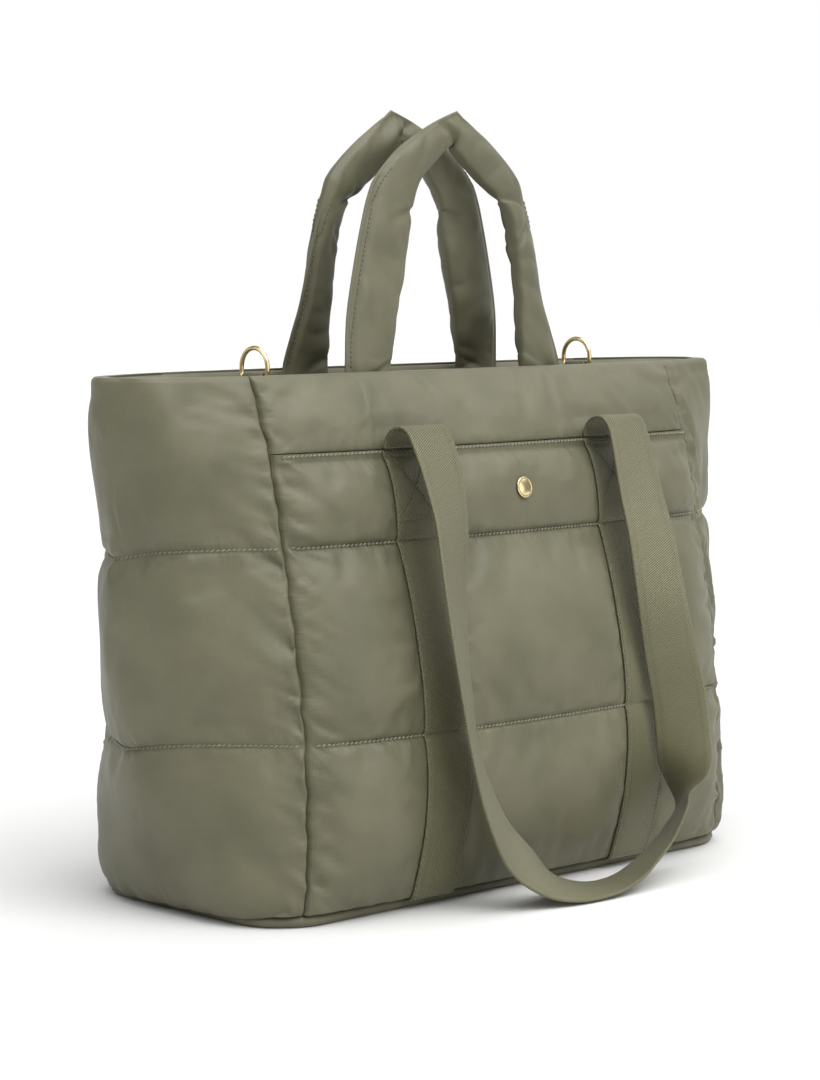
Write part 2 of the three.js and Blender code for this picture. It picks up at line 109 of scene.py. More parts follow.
def bandScale(spacing):
    # Wave Texture scale that repeats every spacing millimetres
    return 2 * math.pi / (20 * spacing * 0.001)


# the drift size sets the patches of random tone and painted sheen in the nylon's colour
nylonLook = {"deep": "#53523d", "light": "#64624c", "roughness": 0.52, "thread": 1.2, "toneAndSheenDrift": 50,
             "crumple": 16, "gather": 7, "gatherReach": 14}


def makeNylon(name, look):
    # Filament nylon, plain woven and calendered: a smooth satin face with broad soft highlights, a tone that
    #     # drifts a little at random and is partly painted sheen, standing in for the shine that shifts with
    #     the
    #     # lie of the threads, fine gathers beside the sewing, and a weave of about 0.3 mm, drawn at 1.2 mm
    #     so
    #     # that it shows
    material, tree, shader = newMaterial(name, look["light"])
    place = addNode(tree, "TexCoord").outputs["Object"]
    cloth = addNode(tree, "UVMap", uv_map="cloth")
    warp, weft = (addNode(tree, "TexWave", {"Vector": cloth, "Scale": bandScale(look["thread"])},
                          bands_direction=way).outputs["Fac"] for way in "XY")
    weave = addNode(tree, "Math", {0: warp, 1: weft}, operation="MAXIMUM")
    # painted sheen: the drift noise lightens and darkens the base colour over about 50 mm, partly random
    # tone and partly standing in for the sheen
    toneAndSheenDrift = addNode(tree, "TexNoise", {"Vector": place, "Scale": 1000 / look["toneAndSheenDrift"], "Detail": 6.0})
    thread = addNode(tree, "Math", {0: weave, 1: 0.22, 2: toneAndSheenDrift}, operation="MULTIPLY_ADD")
    tone = addNode(tree, "ValToRGB", {"Fac": thread}, ramp=[(0.42, look["deep"]), (0.82, look["light"])])
    crumple = addNode(tree, "TexNoise", {"Vector": place, "Scale": 1000 / look["crumple"], "Detail": 4.0})
    gloss = addNode(tree, "MapRange", {
        "Value": crumple, "To Min": look["roughness"] - 0.06, "To Max": look["roughness"] + 0.06})
    creases = addNode(tree, "Bump", {"Height": crumple, "Strength": 0.3, "Distance": 0.0016})
    sewn = addNode(tree, "SeparateXYZ", {"Vector": addNode(tree, "UVMap", uv_map="sewing")})
    away, along = sewn.outputs["X"], sewn.outputs["Y"]
    outward = addNode(tree, "Math", {0: away, 1: 0.3}, operation="MULTIPLY")
    streak = addNode(tree, "CombineXYZ", {"X": outward, "Y": along})
    gathers = addNode(tree, "TexNoise", {"Vector": streak, "Scale": 1000 / look["gather"], "Detail": 2.0})
    fade = addNode(tree, "MapRange", {
        "Value": away, "From Max": look["gatherReach"] * 0.001, "To Min": 1.0, "To Max": 0.0},
        interpolation_type="SMOOTHSTEP")
    gathered = addNode(tree, "Math", {0: gathers, 1: fade}, operation="MULTIPLY")
    puckering = addNode(tree, "Bump", {
        "Height": gathered, "Normal": creases, "Strength": 0.55, "Distance": 0.003})
    threads = addNode(tree, "Bump", {
        "Height": weave, "Normal": puckering, "Strength": 0.12, "Distance": 0.0002})
    plug(tree, shader, {
        "Base Color": tone, "Roughness": gloss, "Normal": threads, "IOR": 1.53, "Specular IOR Level": 0.42,
        "Sheen Weight": 0.05, "Sheen Roughness": 0.45})
    return material


webbingLook = {"deep": "#3f3e29", "light": "#68674d", "shine": "#fff6dc", "roughness": 0.38, "rib": 1.5,
               "slope": 0.55, "fuzz": 1, "line": 13.8, "lineHalf": 1.2}


def makeWebbing(name, look):
    # Nylon webbing in a fine twill: a firm satin band with slanting ribs of about 1 mm, drawn at 1.5 mm so
    # that they show, and a narrow line of plainer weave 5 mm in from each edge
    material, tree, shader = newMaterial(name, look["light"])
    place = addNode(tree, "TexCoord").outputs["Object"]
    split = addNode(tree, "SeparateXYZ", {"Vector": addNode(tree, "UVMap", uv_map="cloth")})
    across, along = split.outputs["X"], split.outputs["Y"]
    slope = addNode(tree, "Math", {0: across, 1: look["slope"], 2: along}, operation="MULTIPLY_ADD")
    ribs = addNode(tree, "TexWave", {
        "Vector": addNode(tree, "CombineXYZ", {"X": slope, "Y": across}), "Scale": bandScale(look["rib"]),
        "Distortion": 0.4, "Detail": 2.0, "Detail Scale": 2.0}, bands_direction="X").outputs["Fac"]
    fromMiddle = addNode(tree, "Math", {0: across}, operation="ABSOLUTE")
    onLine = addNode(tree, "Math", {
        0: fromMiddle, 1: look["line"] * 0.001, 2: look["lineHalf"] * 0.001}, operation="COMPARE")
    fuzz = addNode(tree, "TexNoise", {"Vector": place, "Scale": 1000 / look["fuzz"], "Detail": 1.0})
    mixed = addNode(tree, "Math", {0: fuzz, 1: 0.3, 2: ribs}, operation="MULTIPLY_ADD")
    shaded = addNode(tree, "Math", {0: onLine, 1: -0.14, 2: mixed}, operation="MULTIPLY_ADD")
    tone = addNode(tree, "ValToRGB", {"Fac": shaded}, ramp=[(0.0, look["deep"]), (1.0, look["light"])])
    relief = addNode(tree, "Bump", {"Height": mixed, "Strength": 0.6, "Distance": 0.0006})
    plug(tree, shader, {
        "Base Color": tone, "Normal": relief, "Roughness": look["roughness"], "IOR": 1.53,
        "Specular IOR Level": 0.6, "Specular Tint": toLinear(look["shine"]), "Sheen Weight": 0.14,
        "Sheen Roughness": 0.35})
    return material


def makeThread(name, deep, light):
    # Bonded polyester sewing thread: a tight twist of about 1.4 mm with a slight gloss, a shade off the
    # cloth it is sunk in
    material, tree, shader = newMaterial(name, light)
    place = addNode(tree, "TexCoord").outputs["Object"]
    twist = addNode(tree, "TexNoise", {"Vector": place, "Scale": 1000 / 1.4, "Detail": 1.0})
    tone = addNode(tree, "ValToRGB", {"Fac": twist}, ramp=[(0.3, deep), (0.7, light)])
    plug(tree, shader, {"Base Color": tone, "Roughness": 0.5, "Sheen Weight": 0.2})
    return material


def makeBrass(name, colour):
    # Polished plated brass in light gold: a mirror softened by handling marks of about 3 mm
    material, tree, shader = newMaterial(name, colour)
    place = addNode(tree, "TexCoord").outputs["Object"]
    marks = addNode(tree, "TexNoise", {"Vector": place, "Scale": 1000 / 3, "Detail": 5.0})
    gloss = addNode(tree, "MapRange", {"Value": marks, "To Min": 0.14, "To Max": 0.3})
    dents = addNode(tree, "Bump", {"Height": marks, "Strength": 0.05, "Distance": 0.0003})
    plug(tree, shader, {
        "Base Color": toLinear(colour), "Metallic": 1.0, "Roughness": gloss, "Normal": dents})
    return material


nylon = makeNylon("calenderedNylon", nylonLook)
webbing = makeWebbing("twillWebbing", webbingLook)
quiltThread = makeThread("bondedThread", "#605e48", "#838168")
# the dark thread is the webbing's own colour on the straps; on the handles it is also painted shade, darker
# than the quilting thread so that the seams read as shaded
webbingThreadAndSeamShade = makeThread("darkThread", "#4b4a37", "#66654e")
brass = makeBrass("polishedBrass", "#edd7a6")
print("materials made")


# meshes

def gridFaces(rows, columns, start=0, roundAcross=False, roundAlong=False):
    # quads between neighbouring rows and columns, closed onto the first where the grid runs round
    across = np.arange(columns if roundAcross else columns - 1)
    along = np.arange(rows if roundAlong else rows - 1)
    i, j = np.meshgrid(across, along)
    nextI, nextJ = (i + 1) % columns, (j + 1) % rows
    quads = [j * columns + i, j * columns + nextI, nextJ * columns + nextI, nextJ * columns + i]
    return np.stack(quads, -1).reshape(-1, 4) + start


def quadCorners(flat):
    # a grid's pairs of values at the four corners of each of its quads
    return np.stack([flat[:-1, :-1], flat[:-1, 1:], flat[1:, 1:], flat[1:, :-1]], -2).reshape(-1, 4, 2)


def gridCorners(us, vs):
    # cloth coordinates at the four corners of each quad of a grid
    return quadCorners(np.stack(np.meshgrid(us, vs), -1))


def tubeFaces(rows, columns, us, vs):
    # quads round a tube, with each end closed by quads between opposite points of its ring
    k = np.arange(columns // 2 - 1)
    cap = np.stack([k, k + 1, columns - 2 - k, columns - 1 - k], -1)
    side = gridFaces(rows, columns, roundAcross=True)
    quads = np.concatenate([side, cap[:, ::-1], cap + (rows - 1) * columns])
    return quads, np.concatenate([gridCorners(us, vs), np.zeros((len(cap) * 2, 4, 2))])


def signedVolume(points, quads):
    # a sixth of the sum of triple products, positive where the faces point outwards
    a, b, c, d = (points[quads[:, k]] for k in range(4))
    return float((np.cross(a, b) * c).sum() + (np.cross(a, c) * d).sum()) / 6


def addPiece(name, points, quads, corners, material, slot, body="bag"):
    # mesh from points in millimetres, quads and their cloth coordinates, turned to face outwards
    points = points.reshape(-1, 3)
    if signedVolume(points, quads) < 0:
        quads, corners = quads[:, ::-1], corners[:, ::-1]
    mesh = bpy.data.meshes.new(name)
    mesh.from_pydata((points * 0.001).tolist(), [], quads.tolist())
    layer = mesh.uv_layers.new(name="cloth")
    layer.data.foreach_set("uv", (corners.reshape(-1) * 0.001).astype(np.float32))
    mesh.polygons.foreach_set("use_smooth", np.ones(len(mesh.polygons), bool))
    mesh.materials.append(material)
    piece = bpy.data.objects.new(name, mesh)
    scene.collection.objects.link(piece)
    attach(piece, body)
    return piece


def borderLoop(rows, columns):
    # indices once round the edge of a grid
    index = np.arange(rows * columns).reshape(rows, columns)
    return np.concatenate([index[0, :-1], index[:-1, -1], index[-1, :0:-1], index[:0:-1, 0]])


padEdge = {"thick": 3.0, "unsewn": 50.0}


def addPad(name, outer, inner, us, vs, sewn):
    # closed pad: an outer and an inner grid on the same rows and columns, joined round their edges, which
    # stay crisp; a second layer of coordinates holds the outer face's distance from the nearest sewing and
    # the place along it
    rows, columns = outer.shape[:2]
    size = rows * columns
    edge = borderLoop(rows, columns)
    nextEdge = np.roll(edge, -1)
    rim = np.stack([edge, edge + size, nextEdge + size, nextEdge], -1)
    rimCorners = np.zeros((len(rim), 4, 2))
    rimCorners[:, 1:3, 1] = padEdge["thick"]
    flat = gridCorners(us, vs)
    quads = np.concatenate([gridFaces(rows, columns), gridFaces(rows, columns, size)[:, ::-1], rim])
    corners = np.concatenate([flat, flat[:, ::-1], rimCorners])
    points = np.concatenate([outer.reshape(-1, 3), inner.reshape(-1, 3)])
    pad = addPiece(name, points, quads, corners, nylon, "quilted_nylon")
    fromSewing = np.full((len(quads), 4, 2), padEdge["unsewn"])
    fromSewing[:len(flat)] = quadCorners(sewn)
    if pad.data.polygons[0].vertices[0] != quads[0][0]:
        fromSewing = fromSewing[:, ::-1]
    layer = pad.data.uv_layers.new(name="sewing")
    layer.data.foreach_set("uv", (fromSewing.reshape(-1) * 0.001).astype(np.float32))
    border = np.zeros(2 * size, bool)
    border[edge] = border[edge + size] = True
    ends = np.empty(len(pad.data.edges) * 2, np.int32)
    pad.data.edges.foreach_get("vertices", ends)
    ends = ends.reshape(-1, 2)
    sameFace = (ends[:, 0] < size) == (ends[:, 1] < size)
    pad.data.edges.foreach_set("use_edge_sharp", border[ends].all(1) & sameFace)
    return pad


def gridNormals(grid):
    # cross product of the steps along the columns and up the rows
    return unit(np.cross(np.gradient(grid, axis=1), np.gradient(grid, axis=0)))


def sampleGrid(grid, us, vs, u, v):
    # straight-line reading of a grid of points between its columns u and rows v
    i = np.clip(np.searchsorted(us, u, side="right") - 1, 0, len(us) - 2)
    j = np.clip(np.searchsorted(vs, v, side="right") - 1, 0, len(vs) - 2)
    s = np.clip((u - us[i]) / (us[i + 1] - us[i]), 0, 1)[..., None]
    t = np.clip((v - vs[j]) / (vs[j + 1] - vs[j]), 0, 1)[..., None]
    low = grid[j, i] * (1 - s) + grid[j, i + 1] * s
    high = grid[j + 1, i] * (1 - s) + grid[j + 1, i + 1] * s
    return low * (1 - t) + high * t


def easedRun(start, stop, count, pull=0.55):
    # positions from start to stop, closer together near both: even steps mixed with a half cosine
    t = np.linspace(0, 1, count)
    return start + (stop - start) * (t * (1 - pull) + (0.5 - 0.5 * np.cos(math.pi * t)) * pull)


def chained(*runs):
    # runs of positions end to end, each shared end kept once
    return np.concatenate([runs[0]] + [run[1:] for run in runs[1:]])


def runAlong(path):
    # distance along a path from its first point to each of its points
    return np.concatenate([[0], np.cumsum(np.linalg.norm(np.diff(path, axis=0), axis=1))])


def readPath(at, run, path):
    # straight-line reading of a path at distances along it
    return np.stack([np.interp(at, run, path[:, k]) for k in range(path.shape[1])], -1)


def unit(vectors):
    # each vector divided by its length
    return vectors / np.maximum(np.linalg.norm(vectors, axis=-1, keepdims=True), 1e-9)


def turned(points, side):
    # turned half round about the upright axis where the side is -1
    return points * np.array([side, side, 1.0])


def smooth(low, high, value):
    # 0 below low, 1 above high and an S curve between them
    t = np.clip((value - low) / (high - low), 0, 1)
    return t * t * (3 - 2 * t)


def nearLine(at, lines):
    # distance to the nearest of a list of lines
    return np.abs(np.asarray(at)[..., None] - np.array(lines, float)).min(-1)


# uneven cloth

def ripple(along, seed, spacing, waves=6):
    # sines of spacings scattered about the given one, with random phases, scaled to swing about 1 each way
    draw = np.random.default_rng(seed)
    total = np.zeros_like(along, dtype=float)
    for wave in range(waves):
        step = spacing * (0.6 + 1.1 * draw.random())
        total += np.sin(2 * math.pi * (along / step + draw.random()))
    return total / math.sqrt(waves)


def unevenness(u, v, seed, size, waves=9):
    # sines across random directions, of lengths scattered about the given size
    draw = np.random.default_rng(seed)
    total = np.zeros(np.broadcast(u, v).shape)
    for wave in range(waves):
        turn = draw.random() * math.pi
        step = size * (0.6 + 0.9 * draw.random())
        across = u * math.cos(turn) + v * math.sin(turn)
        total += np.sin(2 * math.pi * (across / step + draw.random()))
    return total / math.sqrt(waves)


def puckers(along, away, seed, spacing, reach, depth, lean=0.3):
    # short folds beside a seam: a ripple along it with its peaks sharpened, nothing on the seam itself,
    # greatest a few millimetres away, and faded out past the reach; the folds lean as they leave the seam
    fold = ripple(along + lean * away, seed, spacing)
    fold = np.sign(fold) * np.abs(fold) ** 1.5
    return depth * fold * smooth(0.5, 5, away) * np.exp(-(away / reach) ** 1.2)


def crinkles(along, away, seed, span, spacing, depth, long):
    # short sharp creases leaving a seam, one for each spacing: a narrow valley with a ridge beside it, at
    # its own place, lean and length, nothing on the seam itself
    draw = np.random.default_rng(seed)
    total = np.zeros(np.broadcast(along, away).shape)
    for place in np.arange(span[0], span[1], spacing):
        at = place + spacing * 0.9 * (draw.random() - 0.5)
        lean = 0.5 * draw.normal()
        reach = long * (0.55 + 0.9 * draw.random())
        off = (along - at - lean * away) / (2.6 + 1.2 * draw.random() + 0.08 * away)
        crease = 0.8 * np.exp(-(off - 1.4) ** 2) - np.exp(-off ** 2)
        fade = smooth(0.3, 3.5, away) * np.exp(-(away / reach) ** 2)
        total += depth * (0.4 + 1.1 * draw.random()) * crease * fade
    return total


seamCreases = {"span": (16, 340), "spacing": 15, "depth": 1.0, "long": 19}
lineCreases = {"span": (-190, 190), "spacing": 13, "depth": 0.5, "long": 11}


def creased(grid, x, z, seam, lines, out, seed):
    # the surface moved along its normals by creases beside its two seams and its stitch lines; x is the
    # distance along a row from the middle, seam the distance from there to each seam
    toSeam = seam - np.abs(x)
    sides = [crinkles(z, toSeam, seed + k, **seamCreases) for k in range(2)]
    total = np.where(x < 0, sides[0], sides[1])
    for k, line in enumerate(lines):
        above = crinkles(x, np.abs(z - line), seed + 2 + k, **lineCreases)
        below = crinkles(x, np.abs(z - line), seed + 7 + k, **lineCreases)
        total += np.where(z > line, above, below) * smooth(2, 14, toSeam)
    return grid + out * gridNormals(grid) * total[..., None]


def pillow(at, lines, power=0.5, flat=1.3):
    # swell between neighbouring stitch lines: four times the two shares of the way, raised to a power,
    # starting a little way from each line so that the stitches have room
    lines = np.array(lines, float)
    k = np.clip(np.searchsorted(lines, at, side="right") - 1, 0, len(lines) - 2)
    s = np.clip((at - lines[k] - flat) / (lines[k + 1] - lines[k] - 2 * flat), 0, 1)
    return np.maximum(4 * s * (1 - s), 0) ** power


def sewnPlaces(x, z, seam, lines):
    # distance to the nearer of the seams and the stitch lines, and the place along whichever is nearer;
    # counted as far away in the corners, where the two are equally near
    toSeam = seam - np.abs(x)
    toLine = nearLine(z, lines)
    corner = 15 * np.exp(-((toSeam - toLine) / 6) ** 2)
    return np.stack([np.minimum(toSeam, toLine) + corner, np.where(toSeam < toLine, z, x)], -1)


# the body in millimetres: heights of its sewing, half distances to the seams and to the edges of the sewn
# webbing, and its plan at each height
footZ, quiltLow, quiltHigh, hemZ, pocketTop, rimZ = 8.3, 116, 238, 291.5, 297, 345
seamX, stripIn, stripOut = 196.4, 75.5, 113.5
stripX = (stripIn + stripOut) / 2
quilts = [quiltLow, quiltHigh]
bodyPlan = {
    "z": [8, 60, quiltLow, 180, quiltHigh, pocketTop, rimZ],
    "seamY": [96, 97.5, 95.5, 87, 76, 63, 45],
    "belly": [6, 19, 24, 21, 17, 15, 1.5],
    "armX": [224, 217, 214, 217, 221, 228, 235],
    "armY": [96, 90, 81, 71, 62, 49, 35],
    "spread": [64, 46, 32, 30, 29, 27, 25],
    "tipX": [226, 240, 256, 261, 266, 271, 276],
}
bodySize = {"endSeam": 197.6, "seamThick": 4, "tuck": 3.3, "tuckWidth": 2.6, "roll": 4.0, "rollDepth": 1.9,
            "overhang": 3.5, "wander": 0.8}


def readPlan(column, z):
    # cubic between the rows, with the slope at each row taken from the rows on both sides of it
    heights = np.array(bodyPlan["z"], float)
    values = np.array(bodyPlan[column], float)
    slopes = np.concatenate([
        [(values[1] - values[0]) / (heights[1] - heights[0])],
        (values[2:] - values[:-2]) / (heights[2:] - heights[:-2]),
        [(values[-1] - values[-2]) / (heights[-1] - heights[-2])]])
    k = np.clip(np.searchsorted(heights, z, side="right") - 1, 0, len(heights) - 2)
    span = heights[k + 1] - heights[k]
    s = (z - heights[k]) / span
    return (values[k] * (2 * s ** 3 - 3 * s ** 2 + 1) + slopes[k] * span * (s ** 3 - 2 * s ** 2 + s)
            + values[k + 1] * (3 * s ** 2 - 2 * s ** 3) + slopes[k + 1] * span * (s ** 3 - s ** 2))


def wallDepth(x, z):
    # half depth at the seams plus a belly that falls off as a power of the distance to them
    bow = np.maximum(1 - (x / seamX) ** 2, 0) ** 0.6
    return readPlan("seamY", z) + readPlan("belly", z) * bow


def sidePuff(x):
    # full across the panel and falling to nothing at the two seams
    return np.maximum(1 - (x / seamX) ** 4, 0) ** 0.5


def quarterTurn(away, width):
    # how far a quarter circle of the given width has turned in, as a share: 0 from the width on, 1 at the
    # edge
    t = np.clip(1 - away / width, 0, 1)
    return 1 - np.sqrt(np.maximum(1 - t * t, 0))


def tucked(away, z):
    # the cloth turns inwards at a seam along a quarter circle, less so at the rim
    depth = bodySize["tuck"] * (1 - 0.7 * smooth(rimZ - 17, rimZ - 2, z))
    return depth * quarterTurn(away, bodySize["tuckWidth"])


def rolled(z):
    # the rim's edge turns over along a quarter circle
    return bodySize["rollDepth"] * quarterTurn(rimZ - z, bodySize["roll"])


def stripDip(x):
    # the sewn webbing holds the wadding down between its edges, and the cloth climbs away from it on both
    # sides
    a = np.abs(x)
    away = np.where(a < stripIn, stripIn - a, np.where(a > stripOut, a - stripOut, 0))
    return np.exp(-(away / 11.0) ** 1.1)


def footRoll(z, drop):
    # the lowest pillow hangs over the seam at its foot: a hump that rises fast above the seam and dies away
    h = np.maximum(z - footZ, 0) / 8
    return drop * h * np.exp(1 - h)


def seamWave(z, away):
    # the seams wander: a ripple up the height, the same for the two pads that meet there, dying away from
    # the seam
    ends = smooth(footZ, 30, z) * smooth(rimZ, rimZ - 20, z)
    return bodySize["wander"] * ripple(z, seed=7, spacing=24) * ends * np.exp(-away / 14)


# padding, swelled by simulation

clothFeel = {"frames": 18, "quality": 5, "mass": 0.12, "stretch": 12.0, "shear": 4.8, "bend": 0.35,
             "air": 2.0}


def swell(outer, held, ease, fill):
    # Cloth held along its seams and stitch lines, cut a little large and pushed out from behind, so that
    # it buckles beside them. No point moves further than the cap, and the move is eased off close to the
    # sewing and where it would sink into the padding.
    rows, columns = outer.shape[:2]
    mesh = bpy.data.meshes.new("swelling")
    mesh.from_pydata((outer.reshape(-1, 3) * 0.001).tolist(), [], gridFaces(rows, columns).tolist())
    sheet = bpy.data.objects.new("swelling", mesh)
    scene.collection.objects.link(sheet)
    group = sheet.vertex_groups.new(name="held")
    group.add(np.flatnonzero(held.reshape(-1)).tolist(), 1.0, "REPLACE")
    cloth = sheet.modifiers.new("swelling", "CLOTH")
    settings = cloth.settings
    settings.quality = clothFeel["quality"]
    settings.mass = clothFeel["mass"]
    settings.tension_stiffness = clothFeel["stretch"]
    settings.compression_stiffness = clothFeel["stretch"]
    settings.shear_stiffness = clothFeel["shear"]
    settings.bending_stiffness = clothFeel["bend"]
    settings.air_damping = clothFeel["air"]
    settings.use_pressure = True
    settings.uniform_pressure_force = fill["pressure"]
    settings.vertex_group_mass = "held"
    settings.shrink_min = -fill["grow"]
    settings.effector_weights.gravity = 0
    cloth.collision_settings.use_collision = False
    cloth.point_cache.frame_start = 1
    cloth.point_cache.frame_end = clothFeel["frames"]
    for step in range(1, clothFeel["frames"] + 1):
        scene.frame_set(step)
    shown = sheet.evaluated_get(bpy.context.evaluated_depsgraph_get())
    result = np.empty(rows * columns * 3)
    shown.data.vertices.foreach_get("co", result)
    bpy.data.objects.remove(sheet)
    bpy.data.meshes.remove(mesh)
    scene.frame_set(1)
    move = (result.reshape(outer.shape) * 1000 - outer) * ease[..., None]
    out = gridNormals(outer)
    move = move - 0.75 * out * np.minimum((move * out).sum(-1, keepdims=True), 0)
    far = np.linalg.norm(move, axis=-1, keepdims=True)
    return outer + move * fill["cap"] * np.tanh(far / fill["cap"]) / np.maximum(far, 1e-9)


# stitching

stitchSize = {"pitch": 3.3, "long": 3.0, "wide": 1.15, "high": 1.0, "slant": 0.42, "proud": 0.15}


def addStitches(name, lines, pitch=stitchSize["pitch"], slant=stitchSize["slant"], thread=quiltThread):
    # one short thread for each pitch along each line: a bead with six sides, pinched at both ends, laid
    # across the line's direction by the slant and half sunk in the cloth
    turn = np.arange(6) * math.pi / 3
    ends = np.array([-0.5, -0.3, 0.3, 0.5])
    plump = np.array([0.25, 1.0, 1.0, 0.25])[:, None]
    beadU = np.repeat(ends, 6)[:, None] * stitchSize["long"] * pitch / stitchSize["pitch"]
    beadV = (plump * np.cos(turn)).reshape(-1, 1) * stitchSize["wide"] / 2
    beadW = (plump * np.sin(turn)).reshape(-1, 1) * stitchSize["high"] / 2 + stitchSize["proud"]
    caps = np.array([[0, 1, 2, 3], [0, 3, 4, 5], [18, 21, 20, 19], [18, 23, 22, 21]])
    bead = np.concatenate([gridFaces(4, 6, roundAcross=True)[:, ::-1], caps])
    rows = []
    for path, normal in lines:
        run = runAlong(path)
        at = np.arange(pitch * 0.6, run[-1] - pitch * 0.4, pitch)
        centre = readPath(at, run, path)
        ahead = unit(readPath(at + 0.5, run, path) - readPath(at - 0.5, run, path))
        up = unit(readPath(at, run, normal))
        up = unit(up - ahead * (up * ahead).sum(-1, keepdims=True))
        lay = unit(ahead + slant * np.cross(up, ahead))
        over = np.cross(up, lay)
        rows.append(centre[:, None] + beadU * lay[:, None] + beadV * over[:, None] + beadW * up[:, None])
    beads = np.concatenate(rows)
    starts = np.arange(len(beads)) * beads.shape[1]
    quads = (bead[None] + starts[:, None, None]).reshape(-1, 4)
    return addPiece(name, beads, quads, np.zeros((len(quads), 4, 2)), thread, "quilted_nylon")


def lineOn(grid, us, vs, u, v, lift=0.0):
    # a stitch line laid on a grid surface: its points, raised by the lift, and the surface's normals there
    u, v = np.broadcast_arrays(np.asarray(u, float), np.asarray(v, float))
    up = unit(sampleGrid(gridNormals(grid), us, vs, u, v))
    return sampleGrid(grid, us, vs, u, v) + lift * up, up


# walls: columns shared by the pocket, the front and the back, closer at the seams and the webbing

panelU = chained(easedRun(-seamX, -stripOut, 33, pull=0.85), easedRun(-stripOut, -stripIn, 9, pull=0.2),
                 easedRun(-stripIn, stripIn, 41), easedRun(stripIn, stripOut, 9, pull=0.2),
                 easedRun(stripOut, seamX, 33, pull=0.85))
overStrip = (np.abs(panelU) > stripIn - 0.1) & (np.abs(panelU) < stripOut + 0.1)
besideStrips = smooth(0, 3, nearLine(panelU, [-stripOut, -stripIn, stripIn, stripOut])) * ~overStrip


def sewnRows(vs, lines):
    # rows of the grid that lie on a line of sewing
    return nearLine(vs, lines) < 0.05


def heldCloth(vs, rows, stripTop):
    # the points that sewing holds: the given rows, both seams, and the webbing's strips up to a height
    held = rows[:, None] | (overStrip[None, :] & (vs < stripTop)[:, None])
    held[:, [0, -1]] = True
    return held


def sewnEase(toSeam, toLine):
    # nothing on a seam or stitch line, full from 8 mm beside a seam and 7 mm beside a line
    return smooth(0.5, 8, toSeam) * smooth(0.5, 7, toLine)


def panelGrid(faceDepth, vs, side):
    # the given depth on the shared columns, with wandering seams and the lowest pillow hanging over its
    # seam
    x, z = np.meshgrid(panelU, vs)
    wander = np.sign(x) * seamWave(z, seamX - np.abs(x))
    return np.stack([x + wander, side * faceDepth(x, z), z - footRoll(z, bodySize["overhang"])], -1)


def panelCloth(faceDepth, vs, side, wall, held, loose, seed):
    # a wall's face swelled between its sewing, then creased beside it wherever the cloth is loose
    x, z = np.meshgrid(panelU, vs)
    outwards = slice(None, None, -side)
    ease = sewnEase(seamX - np.abs(x), nearLine(z, wall["eased"]))
    outer = panelGrid(faceDepth, vs, side)[:, outwards]
    outer = swell(outer, held[:, outwards], ease, wall["fill"])[:, outwards]
    return creased(outer, x, z, seamX, wall["creased"], -side * loose[..., None], seed)


def addPanel(name, outer, innerDepth, vs, side, lines):
    # the wall as a closed pad, its inner face at a depth of its own
    sewn = sewnPlaces(*np.meshgrid(panelU, vs), seamX, lines)
    return addPad(name, outer, panelGrid(innerDepth, vs, side), panelU, vs, sewn)


# pocket: three columns of pillows between the seams and the two strips of webbing

pocket = {"puff": 9.0, "edge": 296.3, "stripHold": 0.5, "wall": 5, "seamWall": 3, "hemWall": 1.2,
          "snapZ": 267.0, "snapHold": 9, "dimple": 2.2, "thinFrom": 272, "thinTo": 294,
          "lines": [footZ, *quilts, hemZ], "eased": [*quilts, hemZ], "creased": quilts,
          "fill": {"pressure": 3.0, "grow": 0.025, "cap": 6.0}}
pocketV = chained(easedRun(footZ, quiltLow, 43, pull=0.6), easedRun(quiltLow, quiltHigh, 47, pull=0.6),
                  easedRun(quiltHigh, hemZ, 23, pull=0.6), easedRun(hemZ, pocket["edge"], 4, pull=0))


def pocketFace(x, z):
    # wall depth plus pillows, flatter in the low middle, held down at the webbing and the seams, with
    # puckers beside every line of sewing
    toSeam = seamX - np.abs(x)
    toLine = nearLine(z, pocket["lines"])
    strip = stripDip(x)
    puff = pocket["puff"] * pillow(z, pocket["lines"]) * sidePuff(x)
    puff = puff * (1 - 0.3 * smooth(110, 70, np.abs(x)) * smooth(245, 230, z))
    puff = puff * (1 - pocket["stripHold"] * strip)
    folds = puckers(z + 0.45 * x, toSeam, seed=3, spacing=30, reach=17, depth=1.2)
    folds = folds + puckers(z + 0.3 * x, toSeam, seed=5, spacing=15, reach=10, depth=1.3)
    folds = folds + puckers(x, toLine, seed=23, spacing=17, reach=9, depth=0.7) * np.minimum(toSeam / 25, 1)
    soft = unevenness(x, z, seed=31, size=105) * 0.9
    soft = soft * np.minimum(toSeam / 40, 1) * np.minimum(toLine / 14, 1)
    free = (1 - strip) * np.where(z > hemZ, 0, 1)
    hem = 1.2 * smooth(288, pocketTop, z) * (1 + 1.4 * np.exp(-(toSeam / 22) ** 2))
    return wallDepth(x, z) + puff + (folds + soft) * free + hem - tucked(toSeam, z)


def pocketBack(x, z):
    # the wadding thins out towards the hem, where only folded cloth is left
    thick = pocket["seamWall"] + (pocket["wall"] - pocket["seamWall"]) * sidePuff(x)
    thinned = smooth(pocket["thinFrom"], pocket["thinTo"], z)
    return wallDepth(x, z) - thick + (thick - pocket["hemWall"]) * thinned


fromSnap = np.hypot(*np.meshgrid(panelU, pocketV - pocket["snapZ"]))
pocketHeld = heldCloth(pocketV, sewnRows(pocketV, pocket["lines"]) | (pocketV > hemZ), rimZ)
pocketHeld |= fromSnap < pocket["snapHold"]
pocketLoose = besideStrips * smooth(hemZ - 0.5, hemZ - 7.5, pocketV)[:, None]
pocketOuter = panelCloth(pocketFace, pocketV, -1, pocket, pocketHeld, pocketLoose, 201)
pocketOuter[..., 1] += pocket["dimple"] * np.exp(-(fromSnap / 10) ** 2)
pocketPad = addPanel("pocketPad", pocketOuter, pocketBack, pocketV, -1, pocket["eased"])
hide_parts("front_pocket")
print("pocket made")


# front wall: plain behind the pocket, then a padded band up to the rim, pulled into creases by the handles

